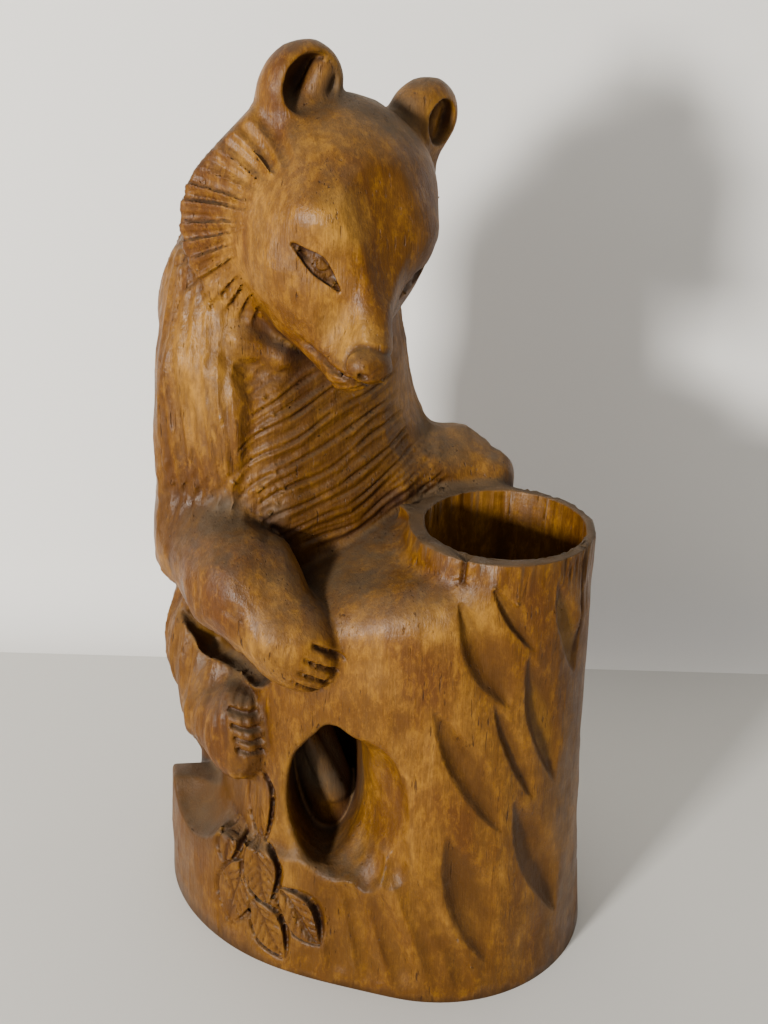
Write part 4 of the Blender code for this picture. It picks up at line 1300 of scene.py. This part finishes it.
def carve():
    """The finished carving as one object."""
    grid, low, step = fill_grid((-78, -76, -5), (80, 76, TOTAL_HEIGHT + 8), CELL)
    vertices, quads = surface(heal(grid, step), low, step)
    vertices, quads = largest_shell(vertices, quads)
    bear = put_object(PIECE, mesh_of(PIECE, vertices, quads))
    thin(bear)
    refine(bear.data)
    mark_wear_and_shade(bear.data)
    tool_marks(bear.data)
    knife_work(bear.data)
    bear.data.materials.append(wood())
    return bear


# ---- stage, light and camera


def plain(name, colour, roughness):
    material = bpy.data.materials.new(name)
    material.use_nodes = True
    shader = material.node_tree.nodes["Principled BSDF"]
    shader.inputs["Base Color"].default_value = colour
    shader.inputs["Roughness"].default_value = roughness
    return material


def one_sided(material):
    """Makes a sheet solid from its front and clear from its back, so that it never hides the carving."""
    tree = material.node_tree
    side = tree.nodes.new("ShaderNodeNewGeometry").outputs["Backfacing"]
    clear = tree.nodes.new("ShaderNodeBsdfTransparent")
    mix = tree.nodes.new("ShaderNodeMixShader")
    tree.links.new(side, mix.inputs[0])
    tree.links.new(tree.nodes["Principled BSDF"].outputs[0], mix.inputs[1])
    tree.links.new(clear.outputs[0], mix.inputs[2])
    tree.links.new(mix.outputs[0], tree.nodes["Material Output"].inputs["Surface"])
    return material


def backdrop():
    """A plain pale floor that turns up into a wall close behind."""
    foot = WALL_BACK - COVE
    profile = [(-3.0, 0.0), (foot, 0.0)]
    for i in range(1, 9):
        c, s = turn(90 * i / 8)
        profile.append((foot + COVE * s, COVE - COVE * c))
    profile.append((WALL_BACK, 4.0))
    sheet = bmesh.new()
    rows = [[sheet.verts.new((x, y, z)) for x in (-4, 4)] for y, z in profile]
    for a, b in zip(rows, rows[1:]):
        sheet.faces.new((a[0], a[1], b[1], b[0]))
    mesh = bpy.data.meshes.new("backdrop")
    sheet.to_mesh(mesh)
    sheet.free()
    mesh.shade_smooth()
    mesh.materials.append(plain("pale_cloth", (0.62, 0.61, 0.58, 1), 0.9))
    mesh.materials.append(one_sided(plain("pale_wall", (0.83, 0.82, 0.80, 1), 0.9)))
    for face in list(mesh.polygons)[1:]:
        face.material_index = 1
    put_object("backdrop", mesh)


def area_light(name, place, target, size, power, colour):
    light = bpy.data.lights.new(name, "AREA")
    light.size = size
    light.energy = power
    light.color = colour
    obj = put_object(name, light)
    obj.location = place
    aim = Vector(target) - Vector(place)
    obj.rotation_euler = aim.to_track_quat("-Z", "Y").to_euler()


def lights():
    world = bpy.data.worlds.new("studio")
    bpy.context.scene.world = world
    world.use_nodes = True
    background = world.node_tree.nodes["Background"]
    background.inputs["Color"].default_value = (1.0, 0.98, 0.95, 1)
    background.inputs["Strength"].default_value = 0.50
    area_light("key", (-0.68, -1.0, 0.38), (0, 0, 0.14), 0.16, 27, (1, 0.965, 0.90))


def camera():
    """Looks down at the block from the front, a little rolled."""
    cp, sp = turn(CAMERA_PITCH)
    cr, sr = turn(CAMERA_ROLL)
    forward, up, right = Vector((0, cp, -sp)), Vector((0, sp, cp)), Vector((1, 0, 0))
    place = Matrix((right * cr + up * sr, up * cr - right * sr, -forward)).transposed().to_4x4()
    place.translation = Vector([(a - b) * MM for a, b in zip(CAMERA_PLACE, (*ORIGIN, 0))])
    data = bpy.data.cameras.new("camera")
    data.sensor_fit = "VERTICAL"
    data.sensor_height = 36
    data.lens = CAMERA_LENS
    data.clip_start = 0.01
    obj = put_object("camera", data)
    obj.matrix_world = place
    bpy.context.scene.camera = obj


for startup in list(bpy.data.objects):
    bpy.data.objects.remove(startup, do_unlink=True)
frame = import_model()
carving = carve()
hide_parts(NODE)
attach(carving, "root")
backdrop()
lights()
camera()
